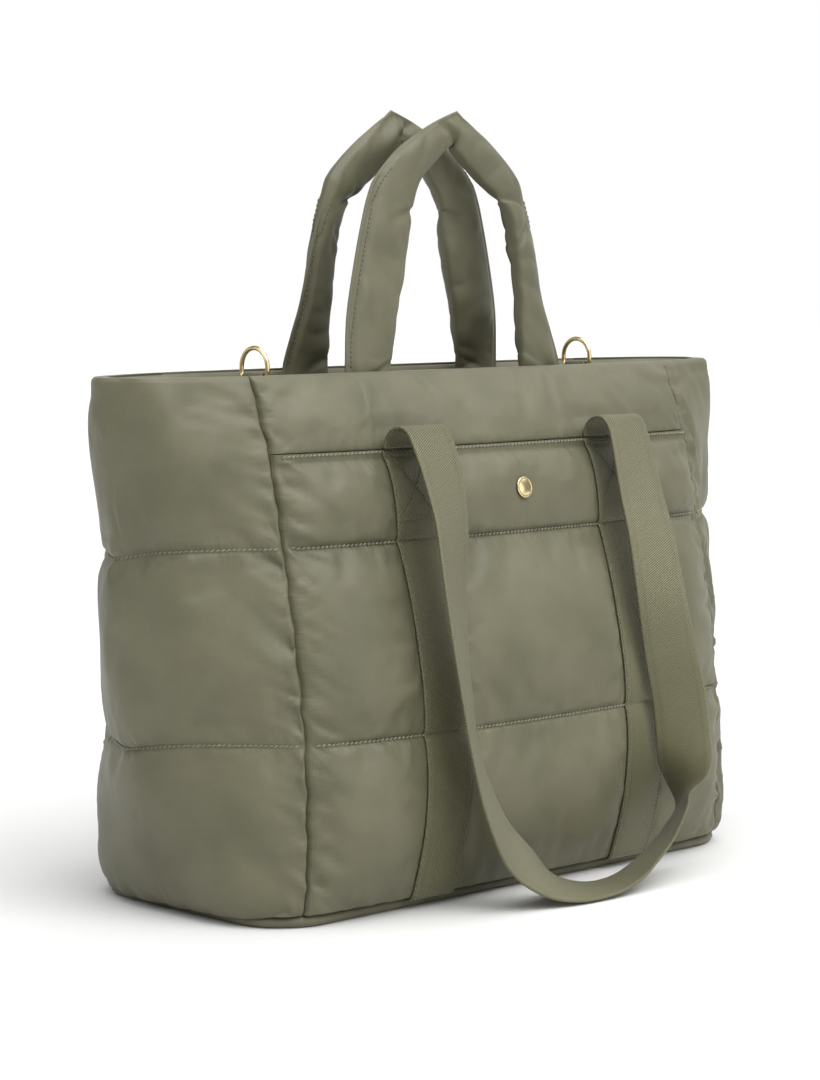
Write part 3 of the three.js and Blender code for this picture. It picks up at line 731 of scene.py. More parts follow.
band = {"puff": 7.5, "low": 295.2, "high": 354, "foot": 298.5, "gap": 0.8, "room": 3, "padding": 1.5,
        "stripTop": 314, "eased": [296, rimZ], "creased": [],
        "fill": {"pressure": 1.4, "grow": 0.014, "cap": 3.0}}
handlePulls = [
    {"x": -101, "lean": -0.10, "depth": 1.5, "long": 34},
    {"x": -62, "lean": 0.55, "depth": 1.6, "long": 40},
    {"x": -30, "lean": 0.75, "depth": 0.9, "long": 34},
    {"x": 38, "lean": -0.55, "depth": 1.0, "long": 36},
    {"x": 63, "lean": -0.35, "depth": 1.5, "long": 42},
    {"x": 80, "lean": 0.15, "depth": 1.0, "long": 34},
    {"x": 102, "lean": 0.45, "depth": 1.4, "long": 34},
]
frontV = chained(np.linspace(footZ, 288, 20), np.linspace(288, 295.5, 5),
                 np.linspace(295.5, band["foot"], 13), easedRun(band["foot"], rimZ, 30, pull=0.3))


def pulled(x, z):
    # each crease is a narrow valley with a soft ridge beside it, running down from the rim at its own lean
    down = rimZ - z
    total = np.zeros(np.broadcast(x, z).shape)
    for pull in handlePulls:
        off = (x - pull["x"] - pull["lean"] * down) / (3.2 + 0.11 * down)
        fade = smooth(0, 7, down) * np.exp(-(down / pull["long"]) ** 2.2)
        total += pull["depth"] * fade * (0.8 * np.exp(-(off - 1.5) ** 2) - np.exp(-off ** 2))
    return total


def behindPocket(x, z):
    # clear of the pocket's inner face, with less room towards the hem
    low = np.minimum(z, float(pocketTop))
    room = band["room"] * sidePuff(x) * smooth(pocket["thinTo"], pocket["thinFrom"], low)
    above = np.where(z > pocketTop, wallDepth(x, z) - wallDepth(x, low), 0)
    return pocketBack(x, low) - band["gap"] - room + above


def frontFace(x, z):
    # behind the pocket it keeps clear of it; above, the band swells to its own pillow
    toSeam = seamX - np.abs(x)
    swellUp = band["puff"] * pillow(np.maximum(z, band["low"]), [band["low"], band["high"]])
    swellUp = swellUp * sidePuff(x) * (1 - 0.45 * stripDip(x) * smooth(322, 308, z))
    folds = puckers(z + 0.4 * x, toSeam, seed=41, spacing=24, reach=15, depth=1.1)
    folds = folds + unevenness(x, z, seed=43, size=80) * 0.8 * np.minimum(toSeam / 40, 1)
    folds = folds * smooth(300, 312, z) * smooth(rimZ, rimZ - 15, z)
    above = wallDepth(x, z) + swellUp + folds + pulled(x, z)
    s = smooth(pocketTop - 1, pocketTop, z)
    return behindPocket(x, z) * (1 - s) + above * s - tucked(toSeam, z) * s - rolled(z)


def frontBack(x, z):
    # the same two depths without the swell, less the wall's thickness
    s = smooth(pocketTop - 1, pocketTop, z)
    inside = behindPocket(x, z) * (1 - s) + wallDepth(x, z) * s
    return inside - bodySize["seamThick"] - band["padding"] * sidePuff(x) + rolled(z) * 0.6


frontHeld = heldCloth(frontV, (frontV < band["foot"]) | (frontV == rimZ), band["stripTop"])
frontLoose = (smooth(299, 304, frontV) * smooth(rimZ, rimZ - 9, frontV))[:, None]
frontOuter = panelCloth(frontFace, frontV, -1, band, frontHeld, frontLoose, 221)
frontPad = addPanel("frontPad", frontOuter, frontBack, frontV, -1, [pocketTop])
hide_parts("front_panel")
print("front wall made")


# back wall: the same quilting, plain, with a strip of webbing up each side

backWall = {"puff": 8.0, "lines": [footZ, *quilts, pocketTop, 354], "stripHold": 0.5, "stripTop": 300,
            "eased": [*quilts, pocketTop, rimZ], "creased": [*quilts, pocketTop],
            "fill": {"pressure": 3.0, "grow": 0.025, "cap": 6.0}}
backV = chained(easedRun(footZ, quiltLow, 43, pull=0.6), easedRun(quiltLow, quiltHigh, 47, pull=0.6),
                easedRun(quiltHigh, pocketTop, 25, pull=0.6), easedRun(pocketTop, rimZ, 19))


def backFace(x, z):
    # wall depth plus four rows of pillows, held down at the webbing below the third stitch line
    toSeam = seamX - np.abs(x)
    toLine = nearLine(z, backWall["lines"])
    strip = stripDip(x) * smooth(303, 296, z)
    puff = backWall["puff"] * pillow(z, backWall["lines"]) * sidePuff(x)
    puff = puff * (1 - backWall["stripHold"] * strip)
    folds = puckers(z, toSeam, seed=53, spacing=21, reach=17, depth=1.6)
    folds = folds + puckers(x, toLine, seed=57, spacing=17, reach=9, depth=0.7) * np.minimum(toSeam / 25, 1)
    soft = unevenness(x, z, seed=59, size=105) * 0.9
    soft = soft * np.minimum(toSeam / 40, 1) * np.minimum(toLine / 14, 1)
    return wallDepth(x, z) + puff + (folds + soft) * (1 - strip) - tucked(toSeam, z) - rolled(z)


def backInside(x, z):
    # the plain wall less its thickness, following the rolled rim
    return wallDepth(x, z) - bodySize["seamThick"] + rolled(z) * 0.6


backRowsHeld = sewnRows(backV, backWall["lines"]) | (backV > rimZ - 2)
backHeld = heldCloth(backV, backRowsHeld, backWall["stripTop"])
backLoose = besideStrips * smooth(rimZ, rimZ - 9, backV)[:, None]
backOuter = panelCloth(backFace, backV, 1, backWall, backHeld, backLoose, 241)
backPad = addPanel("backPad", backOuter, backInside, backV, 1, backWall["creased"])
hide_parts("back_panel")
print("back wall made")


# ends: soft gussets between the seams, flaring towards the rim

endWall = {"puff": 6.5, "lines": [footZ, *quilts, 375], "inset": 6.0, "sag": 8.5, "across": 240,
           "fill": {"pressure": 1.1, "grow": 0.022, "cap": 4.0}}
endT = chained(easedRun(0, 0.5, 42, pull=0.7), easedRun(0.5, 1, 42, pull=0.7))
endV = chained(easedRun(footZ, quiltLow, 43, pull=0.6), easedRun(quiltLow, quiltHigh, 47, pull=0.6),
               easedRun(quiltHigh, rimZ, 41, pull=0.5))


def endPlan(t, z, inset):
    # cubic curve from the front seam to the tip and its mirror image on to the back seam
    s = np.where(t < 0.5, 2 * t, 2 - 2 * t)
    r = 1 - s
    seamY = readPlan("seamY", z) - (bodySize["seamThick"] if inset else 0)
    tip = readPlan("tipX", z) - inset
    arm = readPlan("armX", z) - inset * 0.35
    armY = readPlan("armY", z) - inset * 0.9
    spread = readPlan("spread", z) - inset * 0.4
    x = bodySize["endSeam"] * r ** 3 + 3 * arm * r * r * s + 3 * tip * r * s * s + tip * s ** 3
    y = seamY * r ** 3 + 3 * armY * r * r * s + 3 * spread * r * s * s
    return x, np.where(t < 0.5, -y, y)


def endSag(t, z):
    # how far the level lines drop, most on the near side of the tip and at mid height
    height = np.sin(math.pi * (z - footZ) / (rimZ - footZ)) ** 0.8
    return endWall["sag"] * height * np.exp(-((t - 0.42) / 0.19) ** 2)


def endAround(z):
    # about how far it is round the end from seam to seam
    return readPlan("seamY", z) * 2.6


def endFace(t, z, seed, side):
    # the plan curve pushed out along its normal by the pillows and folds; the stitch lines sag between the
    # seams
    x, y = endPlan(t, z, 0)
    x0, y0 = endPlan(np.maximum(t - 0.004, 0), z, 0)
    x1, y1 = endPlan(np.minimum(t + 0.004, 1), z, 0)
    long = np.maximum(np.hypot(x1 - x0, y1 - y0), 1e-9)
    outX, outY = (y1 - y0) / long, (x0 - x1) / long
    along = t * endAround(z)
    toSeam = np.minimum(t, 1 - t) * endAround(z)
    toLine = nearLine(z, endWall["lines"])
    toLine = np.where(z > 300, np.maximum(toLine, 30), toLine)
    share = np.maximum(4 * t * (1 - t), 0)
    level = 1 - 0.25 * smooth(242, 234, z) - 0.25 * smooth(120, 112, z)
    puff = endWall["puff"] * level * pillow(z, endWall["lines"]) * share ** 0.45
    folds = puckers(z + 300 * t, toSeam, seed, spacing=32, reach=24, depth=1.2, lean=0.5)
    folds = folds + puckers(z, toSeam, seed + 3, spacing=15, reach=11, depth=1.3, lean=-0.4)
    beside = puckers(along, toLine, seed + 1, spacing=15, reach=11, depth=1.0)
    folds = folds + beside * np.minimum(toSeam / 20, 1)
    soft = unevenness(along, z, seed + 2, size=95) * 1.5
    soft = soft * np.minimum(toSeam / 35, 1) * np.minimum(toLine / 14, 1)
    notch = -1.5 * np.exp(-(nearLine(z, quilts) / 9) ** 2) * share ** 2
    near = t if side > 0 else 1 - t
    hollow = -5.0 * np.exp(-((near - 0.43) / 0.065) ** 2) + 2.5 * np.exp(-((near - 0.29) / 0.08) ** 2)
    corner = np.exp(-((np.minimum(t, 1 - t) - 0.15) / 0.11) ** 2)
    foot = (1.5 + 6.5 * corner) * np.maximum(1 - (z - footZ) / 26, 0) ** 2
    push = puff + (folds + soft) * smooth(rimZ, rimZ - 10, z) + notch - foot - tucked(toSeam, z) - rolled(z)
    push = push + hollow * smooth(100, 230, z)
    drop = endSag(t, z) + footRoll(z, 2 + 6.5 * smooth(0.35, 0.9, share))
    return np.stack([x + outX * push + seamWave(z, toSeam), y + outY * push, z - drop], -1)


def endInside(t, z):
    # the plan curve drawn in by the inset, with the same wandering seams and sagging lines
    x, y = endPlan(t, z, endWall["inset"])
    wander = seamWave(z, np.minimum(t, 1 - t) * endAround(z))
    return np.stack([x + wander, y, z - endSag(t, z)], -1)


def endPad(name, node, side, seed):
    # built as the right-hand end, and turned half round for the left
    t, z = np.meshgrid(endT, endV)
    across = (t - 0.5) * endWall["across"]
    seam = endWall["across"] / 2
    held = np.broadcast_to(sewnRows(endV, endWall["lines"])[:, None], t.shape).copy()
    held[[0, -1]] = True
    held[:, [0, -1]] = True
    ease = sewnEase(seam - np.abs(across), nearLine(z, quilts)) * smooth(rimZ, rimZ - 20, z)
    outer = swell(endFace(t, z, seed, side), held, ease, endWall["fill"])
    loose = smooth(rimZ, rimZ - 9, z)[..., None]
    outer = turned(creased(outer, across, z, seam, quilts, loose, seed + 200), side)
    sewn = sewnPlaces(across, z, seam, quilts)
    pad = addPad(name, outer, turned(endInside(t, z), side), endT * endWall["across"], endV, sewn)
    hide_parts(node)
    return outer


endLeft = endPad("endPadLeft", "end_panel_left", -1, 61)
endRight = endPad("endPadRight", "end_panel_right", 1, 71)
print("ends made")


# base: a flat pad with a rounded edge

base = {"corner": 42.0, "halfX": 222.0, "halfY": 96.5, "lip": 5.0, "halfThick": 4.0}


def basePoint(turn, shrink):
    # rounded rectangle: the corner centres moved out by the corner radius along each direction, less the
    # shrink
    radius = base["corner"] - shrink
    cornerX = np.sign(np.cos(turn)) * (base["halfX"] - base["corner"])
    cornerY = np.sign(np.sin(turn)) * (base["halfY"] - base["corner"])
    return cornerX + radius * np.cos(turn), cornerY + radius * np.sin(turn)


def makeBase():
    # rings from the middle of the underside out round the edge and back to the middle of the top
    quarter = np.linspace(0.002, math.pi / 2 - 0.002, 13)
    turn = np.concatenate([quarter + k * math.pi / 2 for k in range(4)])
    edge = np.linspace(-math.pi / 2, math.pi / 2, 13)[:, None]
    x, y = basePoint(turn[None, :], base["lip"] * (1 - np.cos(edge)))
    z = np.broadcast_to(base["halfThick"] * (1 + np.sin(edge)), x.shape)
    wave = 1 + ripple(turn[None, :] * 60, seed=81, spacing=30) * 0.5 * np.cos(edge) / 220
    lip = np.stack([x * wave, y * wave, z], -1)
    flats = np.array([0.985, 0.8, 0.6, 0.3])[:, None, None]
    low = lip[0][None] * np.array([1, 1, 0]) * flats[::-1]
    high = lip[-1][None] * np.concatenate([flats, flats, np.ones_like(flats)], -1)
    rings = np.concatenate([low, lip, high])
    rows, columns = rings.shape[:2]
    return rings, *tubeFaces(rows, columns, np.linspace(0, 1000, columns + 1), np.linspace(0, 300, rows))


basePad = addPiece("basePad", *makeBase(), nylon, "quilted_nylon")
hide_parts("base_panel")
print("base made")


# mouth facing: one flat cloth inside the rim with a long slot hemmed round its edge

facing = {"top": 337.0, "sink": 0.5, "under": 2.6, "climb": 7.3, "mouthX": 138.0, "mouthY": 20.0,
          "square": 7.0, "margin": 1.2}
facingShares = np.array([0.0, 0.06, 0.13, 0.2, 0.4, 0.6, 0.76, 0.84, 0.9, 0.95, 1.0])
facingHem = np.array([0.0, 0.35, 0.3, -0.2, -0.3, -0.3, -0.2, -0.1, 0.0, 0.0, 0.0])


def facingRim(turn):
    # outer edge, a margin inside the walls: the right end's inner plan, the back wall, and both again
    # turned half round
    level = np.array(facing["top"] + 4.0)
    endX, endY = endPlan(np.linspace(0, 1, 61), level, endWall["inset"] + facing["margin"])
    endY = np.sign(endY) * np.maximum(np.abs(endY) - facing["margin"], 0)
    wallX = np.linspace(195, -195, 81)
    thick = bodySize["seamThick"] + band["padding"] * sidePuff(wallX) + facing["margin"]
    wallY = wallDepth(wallX, level) - thick
    half = np.stack([np.concatenate([endX, wallX]), np.concatenate([endY, wallY])], -1)
    loop = np.concatenate([half, -half, half[:1]])
    angle = np.unwrap(np.arctan2(loop[:, 1] * 4, loop[:, 0]))
    return readPath(np.mod(turn - angle[0], 2 * math.pi) + angle[0], angle, loop)


def mouthRim(turn):
    # slot edge: a rounded rectangle met by a ray at the stretched angle
    ahead = np.stack([np.cos(turn), np.sin(turn) / 4], -1)
    sides = np.abs(ahead / np.array([facing["mouthX"], facing["mouthY"]])) ** facing["square"]
    return ahead * sides.sum(-1, keepdims=True) ** (-1 / facing["square"])


def makeFacing():
    # rows from the slot's hem out to the wall and back underneath: the hem a little thicker, slack
    # between, and a climb at the outside up to the rim
    turn = np.linspace(0, 2 * math.pi, 240, endpoint=False)
    share = facingShares[:, None]
    plan = mouthRim(turn)[None] * (1 - share[..., None]) + facingRim(turn)[None] * share[..., None]
    slack = unevenness(plan[..., 0], plan[..., 1], seed=91, size=70) * 0.7 * np.sin(math.pi * share)
    level = facing["top"] + slack + facing["climb"] * smooth(0.78, 1.0, share)
    top = np.concatenate([plan, (level - facing["sink"] + facingHem[:, None])[..., None]], -1)
    low = np.concatenate([plan, (level - facing["under"])[..., None]], -1)
    rings = np.concatenate([top, low[::-1]])
    rows, columns = rings.shape[:2]
    corners = gridCorners(np.linspace(0, 820, columns + 1), np.linspace(0, 120, rows + 1))
    return rings, gridFaces(rows, columns, roundAcross=True, roundAlong=True), corners


facingGrid, facingQuads, facingCorners = makeFacing()
mouthFacing = addPiece("mouthFacing", facingGrid, facingQuads, facingCorners, nylon, "quilted_nylon")
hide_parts("top_facing")
print("mouth facing made")


# handles: padded tubes with a stitched flange along the outer edge, kinked where they bend

handle = {"flange": 4.6, "flangeHalf": 1.2, "around": 56, "step": 1.5, "fullness": 0.4, "boxy": 0.28,
          "peakRow": 8.45}
handleBends = {
    "x": [-82.5, -82.5, -77, -70, -56, -45, -27, -5, 14.5, 20, 40, 62, 71.5, 77, 80, 81.5, 82.5, 82.5],
    "y": [-30.5, -30.5, -26.5, -23, -18, -14.5, -12.5, -11.5, -11, -11, -11.5, -13, -14.5, -18, -23.5, -27,
          -30.5, -30.5],
    "z": [337.4, 347, 369, 391, 431, 457, 476, 490, 499.3, 499, 486, 469, 454, 429, 390, 368, 347, 337.4],
    "width": [38, 40, 43, 44, 44, 41, 37, 34, 32, 32, 33, 31, 29, 30, 31, 35, 39, 38],
    "depth": [11, 13, 18, 19, 19, 18, 18, 18, 17, 17, 18, 18, 17, 18, 18, 17, 13, 11],
    "slim": [0, 0, 0, 0, 0, 2, 7, 11, 12, 8, 4, 3, 2, 1, 0, 0, 0, 0],
    "twist": [0, 0, 0, 0, 0, 0, 0, 0, 0, 0, -5, -14, -22, -20, -12, -5, 0, 0],
}
handleKinks = [
    {"row": 1.3, "lean": 0.7, "depth": 1.4, "wide": 3.0, "across": 0.0, "half": 0},
    {"row": 5.05, "lean": 0.9, "depth": 2.4, "wide": 4.6, "across": 0.0, "half": 17},
    {"row": handle["peakRow"], "lean": 0.2, "depth": 4.4, "wide": 2.6, "across": 1.0, "half": 29},
    {"row": 11.4, "lean": -0.8, "depth": 3.4, "wide": 3.8, "across": 0.1, "half": 21},
    {"row": 13.0, "lean": 0.9, "depth": 1.7, "wide": 3.4, "across": 0.0, "half": 0},
    {"row": 15.7, "lean": -0.6, "depth": 1.4, "wide": 3.0, "across": 0.0, "half": 0},
]


def readBends(bends, at):
    # cubic through each row and its neighbours, read at fractional row numbers; the path is given beside
    # them
    columns = {}
    last = len(bends["x"]) - 1
    i = np.clip(np.floor(at).astype(int), 0, last - 1)
    s = at - i
    for column, values in bends.items():
        p = np.array(values, float)
        a, b, c, d = p[np.maximum(i - 1, 0)], p[i], p[i + 1], p[np.minimum(i + 2, last)]
        columns[column] = b + 0.5 * s * (c - a + s * (2 * a - 5 * b + 4 * c - d + s * (3 * (b - c) + d - a)))
    return columns, np.stack([columns[axis] for axis in "xyz"], -1)


def evenRows(bends, step):
    # fractional row numbers spaced evenly along the path, and the distances there
    fine = np.linspace(0, len(bends["x"]) - 1, 4000)
    run = runAlong(readBends(bends, fine)[1])
    even = np.linspace(0, run[-1], int(run[-1] / step) + 1)
    return np.interp(even, run, fine), even


def foldShape(off):
    # a tuck seen across: gentle on the side that folds over and steep on the side that goes under
    return np.where(off < 0, np.exp(-(off / 1.7) ** 2), np.exp(-(off / 0.55) ** 2))


def makeHandle(seed):
    # section: a thin flange, then a pad whose half depth is a low power of the two shares of the remaining
    # width, flat in front and tight at its edges; carried along the arch with its width in the arch's
    # plane, tucked on the inner side of each bend and pointed on the outer side, where the peak is pressed
    # thin
    at, run = evenRows(handleBends, handle["step"])
    rows, centre = readBends(handleBends, at)
    ahead = unit(np.gradient(centre, axis=0))
    ahead[0], ahead[-1] = (0, 0, 1), (0, 0, -1)
    wide = unit(np.cross(np.array([0.0, 1.0, 0.0]), ahead))
    deep = unit(np.cross(ahead, wide))
    twist = np.radians(rows["twist"])[:, None]
    wide, deep = wide * np.cos(twist) + deep * np.sin(twist), deep * np.cos(twist) - wide * np.sin(twist)
    t = np.arange(handle["around"]) / handle["around"]
    q = 0.5 - 0.5 * np.cos(2 * math.pi * t)[None, :]
    face = np.where(t < 0.5, 1.0, -1.0)[None, :]
    width, depth = rows["width"][:, None], rows["depth"][:, None]
    leg = np.maximum(smooth(6.0, 4.6, at), smooth(12.0, 13.5, at))[:, None]
    flange = (1.0 + (handle["flange"] - 1.0) * leg) / width
    e = np.clip((q - flange) / (1 - flange), 0, 1)
    lip = handle["flangeHalf"] * np.sqrt(np.minimum(q / 0.03, 1))
    pad = handle["fullness"] * depth * np.maximum(4 * e * (1 - e), 0) ** handle["boxy"]
    peak = np.exp(-((run - np.interp(handle["peakRow"], at, run)) / 17) ** 2)[:, None]
    pad = pad * (1 - 0.8 * peak * (1 - smooth(0.0, 0.6, q)))
    dent, pinch, point = np.zeros((3, *pad.shape))
    for kink in handleKinks:
        s0 = np.interp(kink["row"], at, run)
        off = (run[:, None] - s0 - kink["lean"] * (q - 0.9) * width) / kink["wide"]
        reach = np.maximum(smooth(0.25, 0.75, q) * (1 - 0.45 * smooth(0.8, 1.0, q)), kink["across"])
        dent += kink["depth"] * reach * foldShape(off)
        pinch += 0.22 * kink["depth"] * foldShape(off) * smooth(0.7, 1.0, q)
        bend = np.arccos(np.clip(ahead @ ahead[int(np.argmin(np.abs(run - s0)))], -1, 1))
        sharp = 1 / np.cos(np.maximum(math.radians(kink["half"]) - bend, 0)) - 1
        point += 0.5 * sharp[:, None] * width * (1 - q) ** 1.5
    along = run[:, None]
    small = ripple(along + 14 * q + 6 * face, seed, spacing=46) * 0.4
    small = small + ripple(along - 22 * q + 11 * face, seed + 1, spacing=70) * 0.5
    small = small + 1.1 * (np.abs(unevenness(along, q * width + 70 * face, seed + 2, size=34)) - 0.6)
    soft = np.minimum(pad / 4, 1)
    half = np.maximum(np.maximum(pad - dent * soft + small * soft * smooth(0, 0.2, e), 0.25 * pad), lip)
    a = (q - 0.5) * width - rows["slim"][:, None] * q - pinch - point
    b = face * half
    return centre[:, None] + a[..., None] * wide[:, None] + b[..., None] * deep[:, None], run


def addHandle(name, node, side, seed):
    # the tube closed at both ends, turned half round for the back
    rings, run = makeHandle(seed)
    rings = turned(rings, side)
    rows, columns = rings.shape[:2]
    quads, corners = tubeFaces(rows, columns, np.linspace(0, 95, columns + 1), run)
    piece = addPiece(name, rings, quads, corners, nylon, "quilted_nylon")
    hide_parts(node)
    return rings


handleFront = addHandle("handleFront", "handle_front", 1, 101)
handleBack = addHandle("handleBack", "handle_back", -1, 107)
print("handles made")


# webbing: the two sewn strips of each face and the free loop between them

strapSize = {"wide": 38.0, "thick": 1.8, "lift": 0.35, "tooth": 2.6, "toothDepth": 0.35, "step": 1.3,
             "sewn": 287.5}
strapFolds = {
    "x": [-94.5, -94.5, -94.5, -94, -93.5, -93, -92, -93.5, -97, -98, -95, -91, -83, -68, -46, -20, 10, 36,
          58, 80, 98, 108, 113, 114, 112, 106, 101, 99.5, 98, 96, 95, 94.5, 94.5, 94.5, 94.5, 94.5],
    "y": [-79.3, -80.3, -85.5, -92.5, -98.5, -103, -110, -120, -126.5, -132, -136, -139.5, -143, -147, -150,
          -152, -153, -152.5, -151, -148.5, -146, -144, -141.5, -139, -136, -132.5, -128.5, -121, -112.5,
          -106.5, -102.5, -98.5, -92.5, -85.5, -80.3, -79.3],
    "z": [297.2, 304, 309.5, 311.3, 308.5, 301, 283, 253, 222, 182, 142, 106, 75, 43, 23, 9.5, 4.5, 6.5,
          14, 25, 39, 51, 65, 84, 117, 152, 190, 228, 258, 285, 301, 308.5, 311.3, 309.5, 304, 297.2],
    "turn": [0, 0, 0, 0, 0, 1, 4, 13, 22, 31, 36, 40, 44, 52, 62, 76, 84, 80, 68, 56, 49, 50, 92, 134,
             146, 153, 160, 166, 172, 177, 180, 180, 180, 180, 180, 180],
    "rise": [0, 0, 0, 0, 0, 0, 0, 0, 0, 0, 0, 4, 30, 48, 44, 20, 3, -8, -12, -8, -4, -2, *[0] * 14],
}


def webSection(run):
    # flat band round its edge: share of the half width across and of the half thickness through, with
    # toothed sides
    top = np.array([-0.985, -0.93, -0.6, -0.2, 0.2, 0.6, 0.93, 0.985])
    bulge = np.array([0.8, 1.05, 1, 1, 1, 1, 1.05, 0.8])
    across = np.concatenate([[-1], top, [1], top[::-1]])
    through = np.concatenate([[0], bulge, [0], -bulge])
    tooth = np.abs(np.mod(run / strapSize["tooth"], 1.0) * 2 - 1) - 0.5
    edge = np.sign(across) * np.abs(across) ** 12
    teeth = edge[None, :] * (strapSize["toothDepth"] * tooth[:, None])
    return strapSize["wide"] / 2 * across[None, :] + teeth, strapSize["thick"] / 2 * through


def addWebbing(name, rings, run, node, wide):
    # closed band: sections joined along the run and capped at both ends
    rows, columns = rings.shape[:2]
    quads, corners = tubeFaces(rows, columns, np.concatenate([wide, wide[:1]]), run)
    piece = addPiece(name, rings, quads, corners, webbing, "webbing")
    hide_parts(node)


def makeLoop():
    # the section carried along the strap's path, its width turned in plan and tipped up as the rows say
    at, run = evenRows(strapFolds, strapSize["step"])
    rows, centre = readBends(strapFolds, at)
    ahead = unit(np.gradient(centre, axis=0))
    turn, rise = np.radians(rows["turn"]), np.radians(rows["rise"])
    wide = np.stack([np.cos(rise) * np.cos(turn), np.cos(rise) * np.sin(turn), np.sin(rise)], -1)
    wide = unit(wide - ahead * (wide * ahead).sum(-1, keepdims=True))
    over = np.cross(ahead, wide)
    a, b = webSection(run)
    rings = centre[:, None] + a[..., None] * wide[:, None] + b[None, :, None] * over[:, None]
    return rings, run, a[0]


loopRings, loopRun, loopWide = makeLoop()
for name, node, side, anchor in [("strapFront", "strap_front", 1, "strap_anchor_front_left"),
                                 ("strapBack", "strap_back", -1, "strap_anchor_back_left")]:
    addWebbing(name, turned(loopRings, side), loopRun, node, loopWide)


def addAnchor(name, node, grid, vs, side, middle):
    # webbing laid on the wall's own surface and raised by the lift, both faces on the same section
    run = np.arange(0, strapSize["sewn"], strapSize["step"])
    a, b = webSection(run)
    u = middle + a
    v = footZ + np.broadcast_to(run[:, None], u.shape)
    up = unit(sampleGrid(gridNormals(grid), panelU, vs, u, v)) * side
    lift = strapSize["lift"] + strapSize["thick"] / 2 + b[None, :, None]
    rings = sampleGrid(grid, panelU, vs, u, v) + up * lift
    addWebbing(name, rings, run, node, a[0])


addAnchor("anchorFrontLeft", "strap_anchor_front_left", pocketOuter, pocketV, 1, -stripX)
addAnchor("anchorFrontRight", "strap_anchor_front_right", pocketOuter, pocketV, 1, stripX)
addAnchor("anchorBackLeft", "strap_anchor_back_left", backOuter, backV, -1, -stripX)
addAnchor("anchorBackRight", "strap_anchor_back_right", backOuter, backV, -1, stripX)


# brass rings, the tabs that hold them and the snap

ring = {"x": 154.0, "barZ": 342.0, "wire": 3.2, "inner": 22.0, "rise": 19.0, "corner": 3.0, "steps": 90,
        "sides": 20}


def ringPath():
    # straight bar, quarter circles at its ends and a half circle over the top, evenly spaced
    half = ring["inner"] / 2 + ring["wire"] / 2
    corner = ring["corner"]
    bar = np.linspace(-half + corner, half - corner, 12)
    bend = np.linspace(0, math.pi / 2, 8)
    bow = np.linspace(0, math.pi, 40)
    bendY = half - corner + corner * np.sin(bend)
    bendZ = corner - corner * np.cos(bend)
    y = np.concatenate([bar, bendY, half * np.cos(bow), -bendY[::-1]])
    z = np.concatenate([0 * bar, bendZ, ring["rise"] - half + half * np.sin(bow), bendZ[::-1]])
    path = np.stack([y, z], -1)
    path = path[np.concatenate([[True], np.linalg.norm(np.diff(path, axis=0), axis=1) > 0.01])]
    path = np.concatenate([path, path[:1]])
    run = runAlong(path)
    return readPath(np.linspace(0, run[-1], ring["steps"], endpoint=False), run, path)


def addRing(name, node, x, body):
    # round wire carried round the path
    path = ringPath()
    step = np.roll(path, -1, 0) - np.roll(path, 1, 0)
    out = unit(np.stack([step[:, 1], -step[:, 0]], -1))
    turn = np.arange(ring["sides"]) * 2 * math.pi / ring["sides"]
    radius = ring["wire"] / 2
    y = path[:, None, 0] + radius * np.cos(turn)[None] * out[:, None, 0]
    z = path[:, None, 1] + radius * np.cos(turn)[None] * out[:, None, 1] + ring["barZ"]
    points = np.stack([np.broadcast_to(x + radius * np.sin(turn)[None], y.shape), y, z], -1)
    quads = gridFaces(len(path), ring["sides"], roundAcross=True, roundAlong=True)
    piece = addPiece(name, points, quads, np.zeros((len(quads), 4, 2)), brass, "brass", body)
    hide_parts(node)


addRing("ringLeft", "dring_left", -ring["x"], "ring_left")
addRing("ringRight", "dring_right", ring["x"], "ring_right")

tab = {"wide": 19.0, "thick": 1.3, "clear": 0.35, "long": 20.0}


def tabSection():
    # once round the cloth: over the bar, out along the underside of the tail, round its end and back along
    # the top to the bar, with the radius of the eye that the bar lies in
    inner = ring["wire"] / 2 + tab["clear"]
    outer = inner + tab["thick"]
    low = facing["top"] + 0.3 - ring["barZ"]
    high = low + 2 * tab["thick"]
    over = np.radians(np.linspace(18, 252, 28))
    tail = np.linspace(0, 1, 10)
    x = np.concatenate([outer * np.cos(over), np.linspace(0.9, tab["long"], 10), [tab["long"] + 0.5],
                        tab["long"] + (outer + 1.8 - tab["long"]) * tail])
    z = np.concatenate([outer * np.sin(over), np.full(10, low), [low + tab["thick"]],
                        high + 0.5 * np.sin(math.pi * tail) * np.exp(-((tail - 0.85) / 0.2) ** 2)])
    return np.stack([x, z], -1), inner


def addTab(name, node, side):
    # the outline carried across the tab's width, its two sides closed against the loop's eye
    outline, inner = tabSection()
    eye = np.arctan2(outline[:, 1], outline[:, 0])
    hole = inner * np.stack([np.cos(eye), np.sin(eye)], -1)
    across = np.array([-0.5, -0.47, -0.4, -0.2, 0, 0.2, 0.4, 0.47, 0.5]) * tab["wide"]
    soft = np.array([0.35, 0.08, 0, 0, 0, 0, 0, 0.08, 0.35])
    shell = np.repeat(outline[None], len(across), 0)
    shell = shell - unit(shell) * soft[:, None, None]
    bore = np.repeat(hole[None], len(across), 0)
    y = np.broadcast_to(across[:, None], shell.shape[:2])
    outside, inside = (np.stack([flat[..., 0] + ring["x"], y, flat[..., 1] + ring["barZ"]], -1)
                       for flat in (shell, bore))
    loop = turned(np.concatenate([outside, inside[::-1]]), side)
    rows, columns = loop.shape[:2]
    quads = gridFaces(rows, columns, roundAcross=True, roundAlong=True)
    corners = gridCorners(np.linspace(0, 60, columns + 1), np.linspace(0, 40, rows + 1))
    piece = addPiece(name, loop, quads, corners, nylon, "quilted_nylon")
    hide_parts(node)


addTab("tabLeft", "dring_tab_left", -1)
addTab("tabRight", "dring_tab_right", 1)

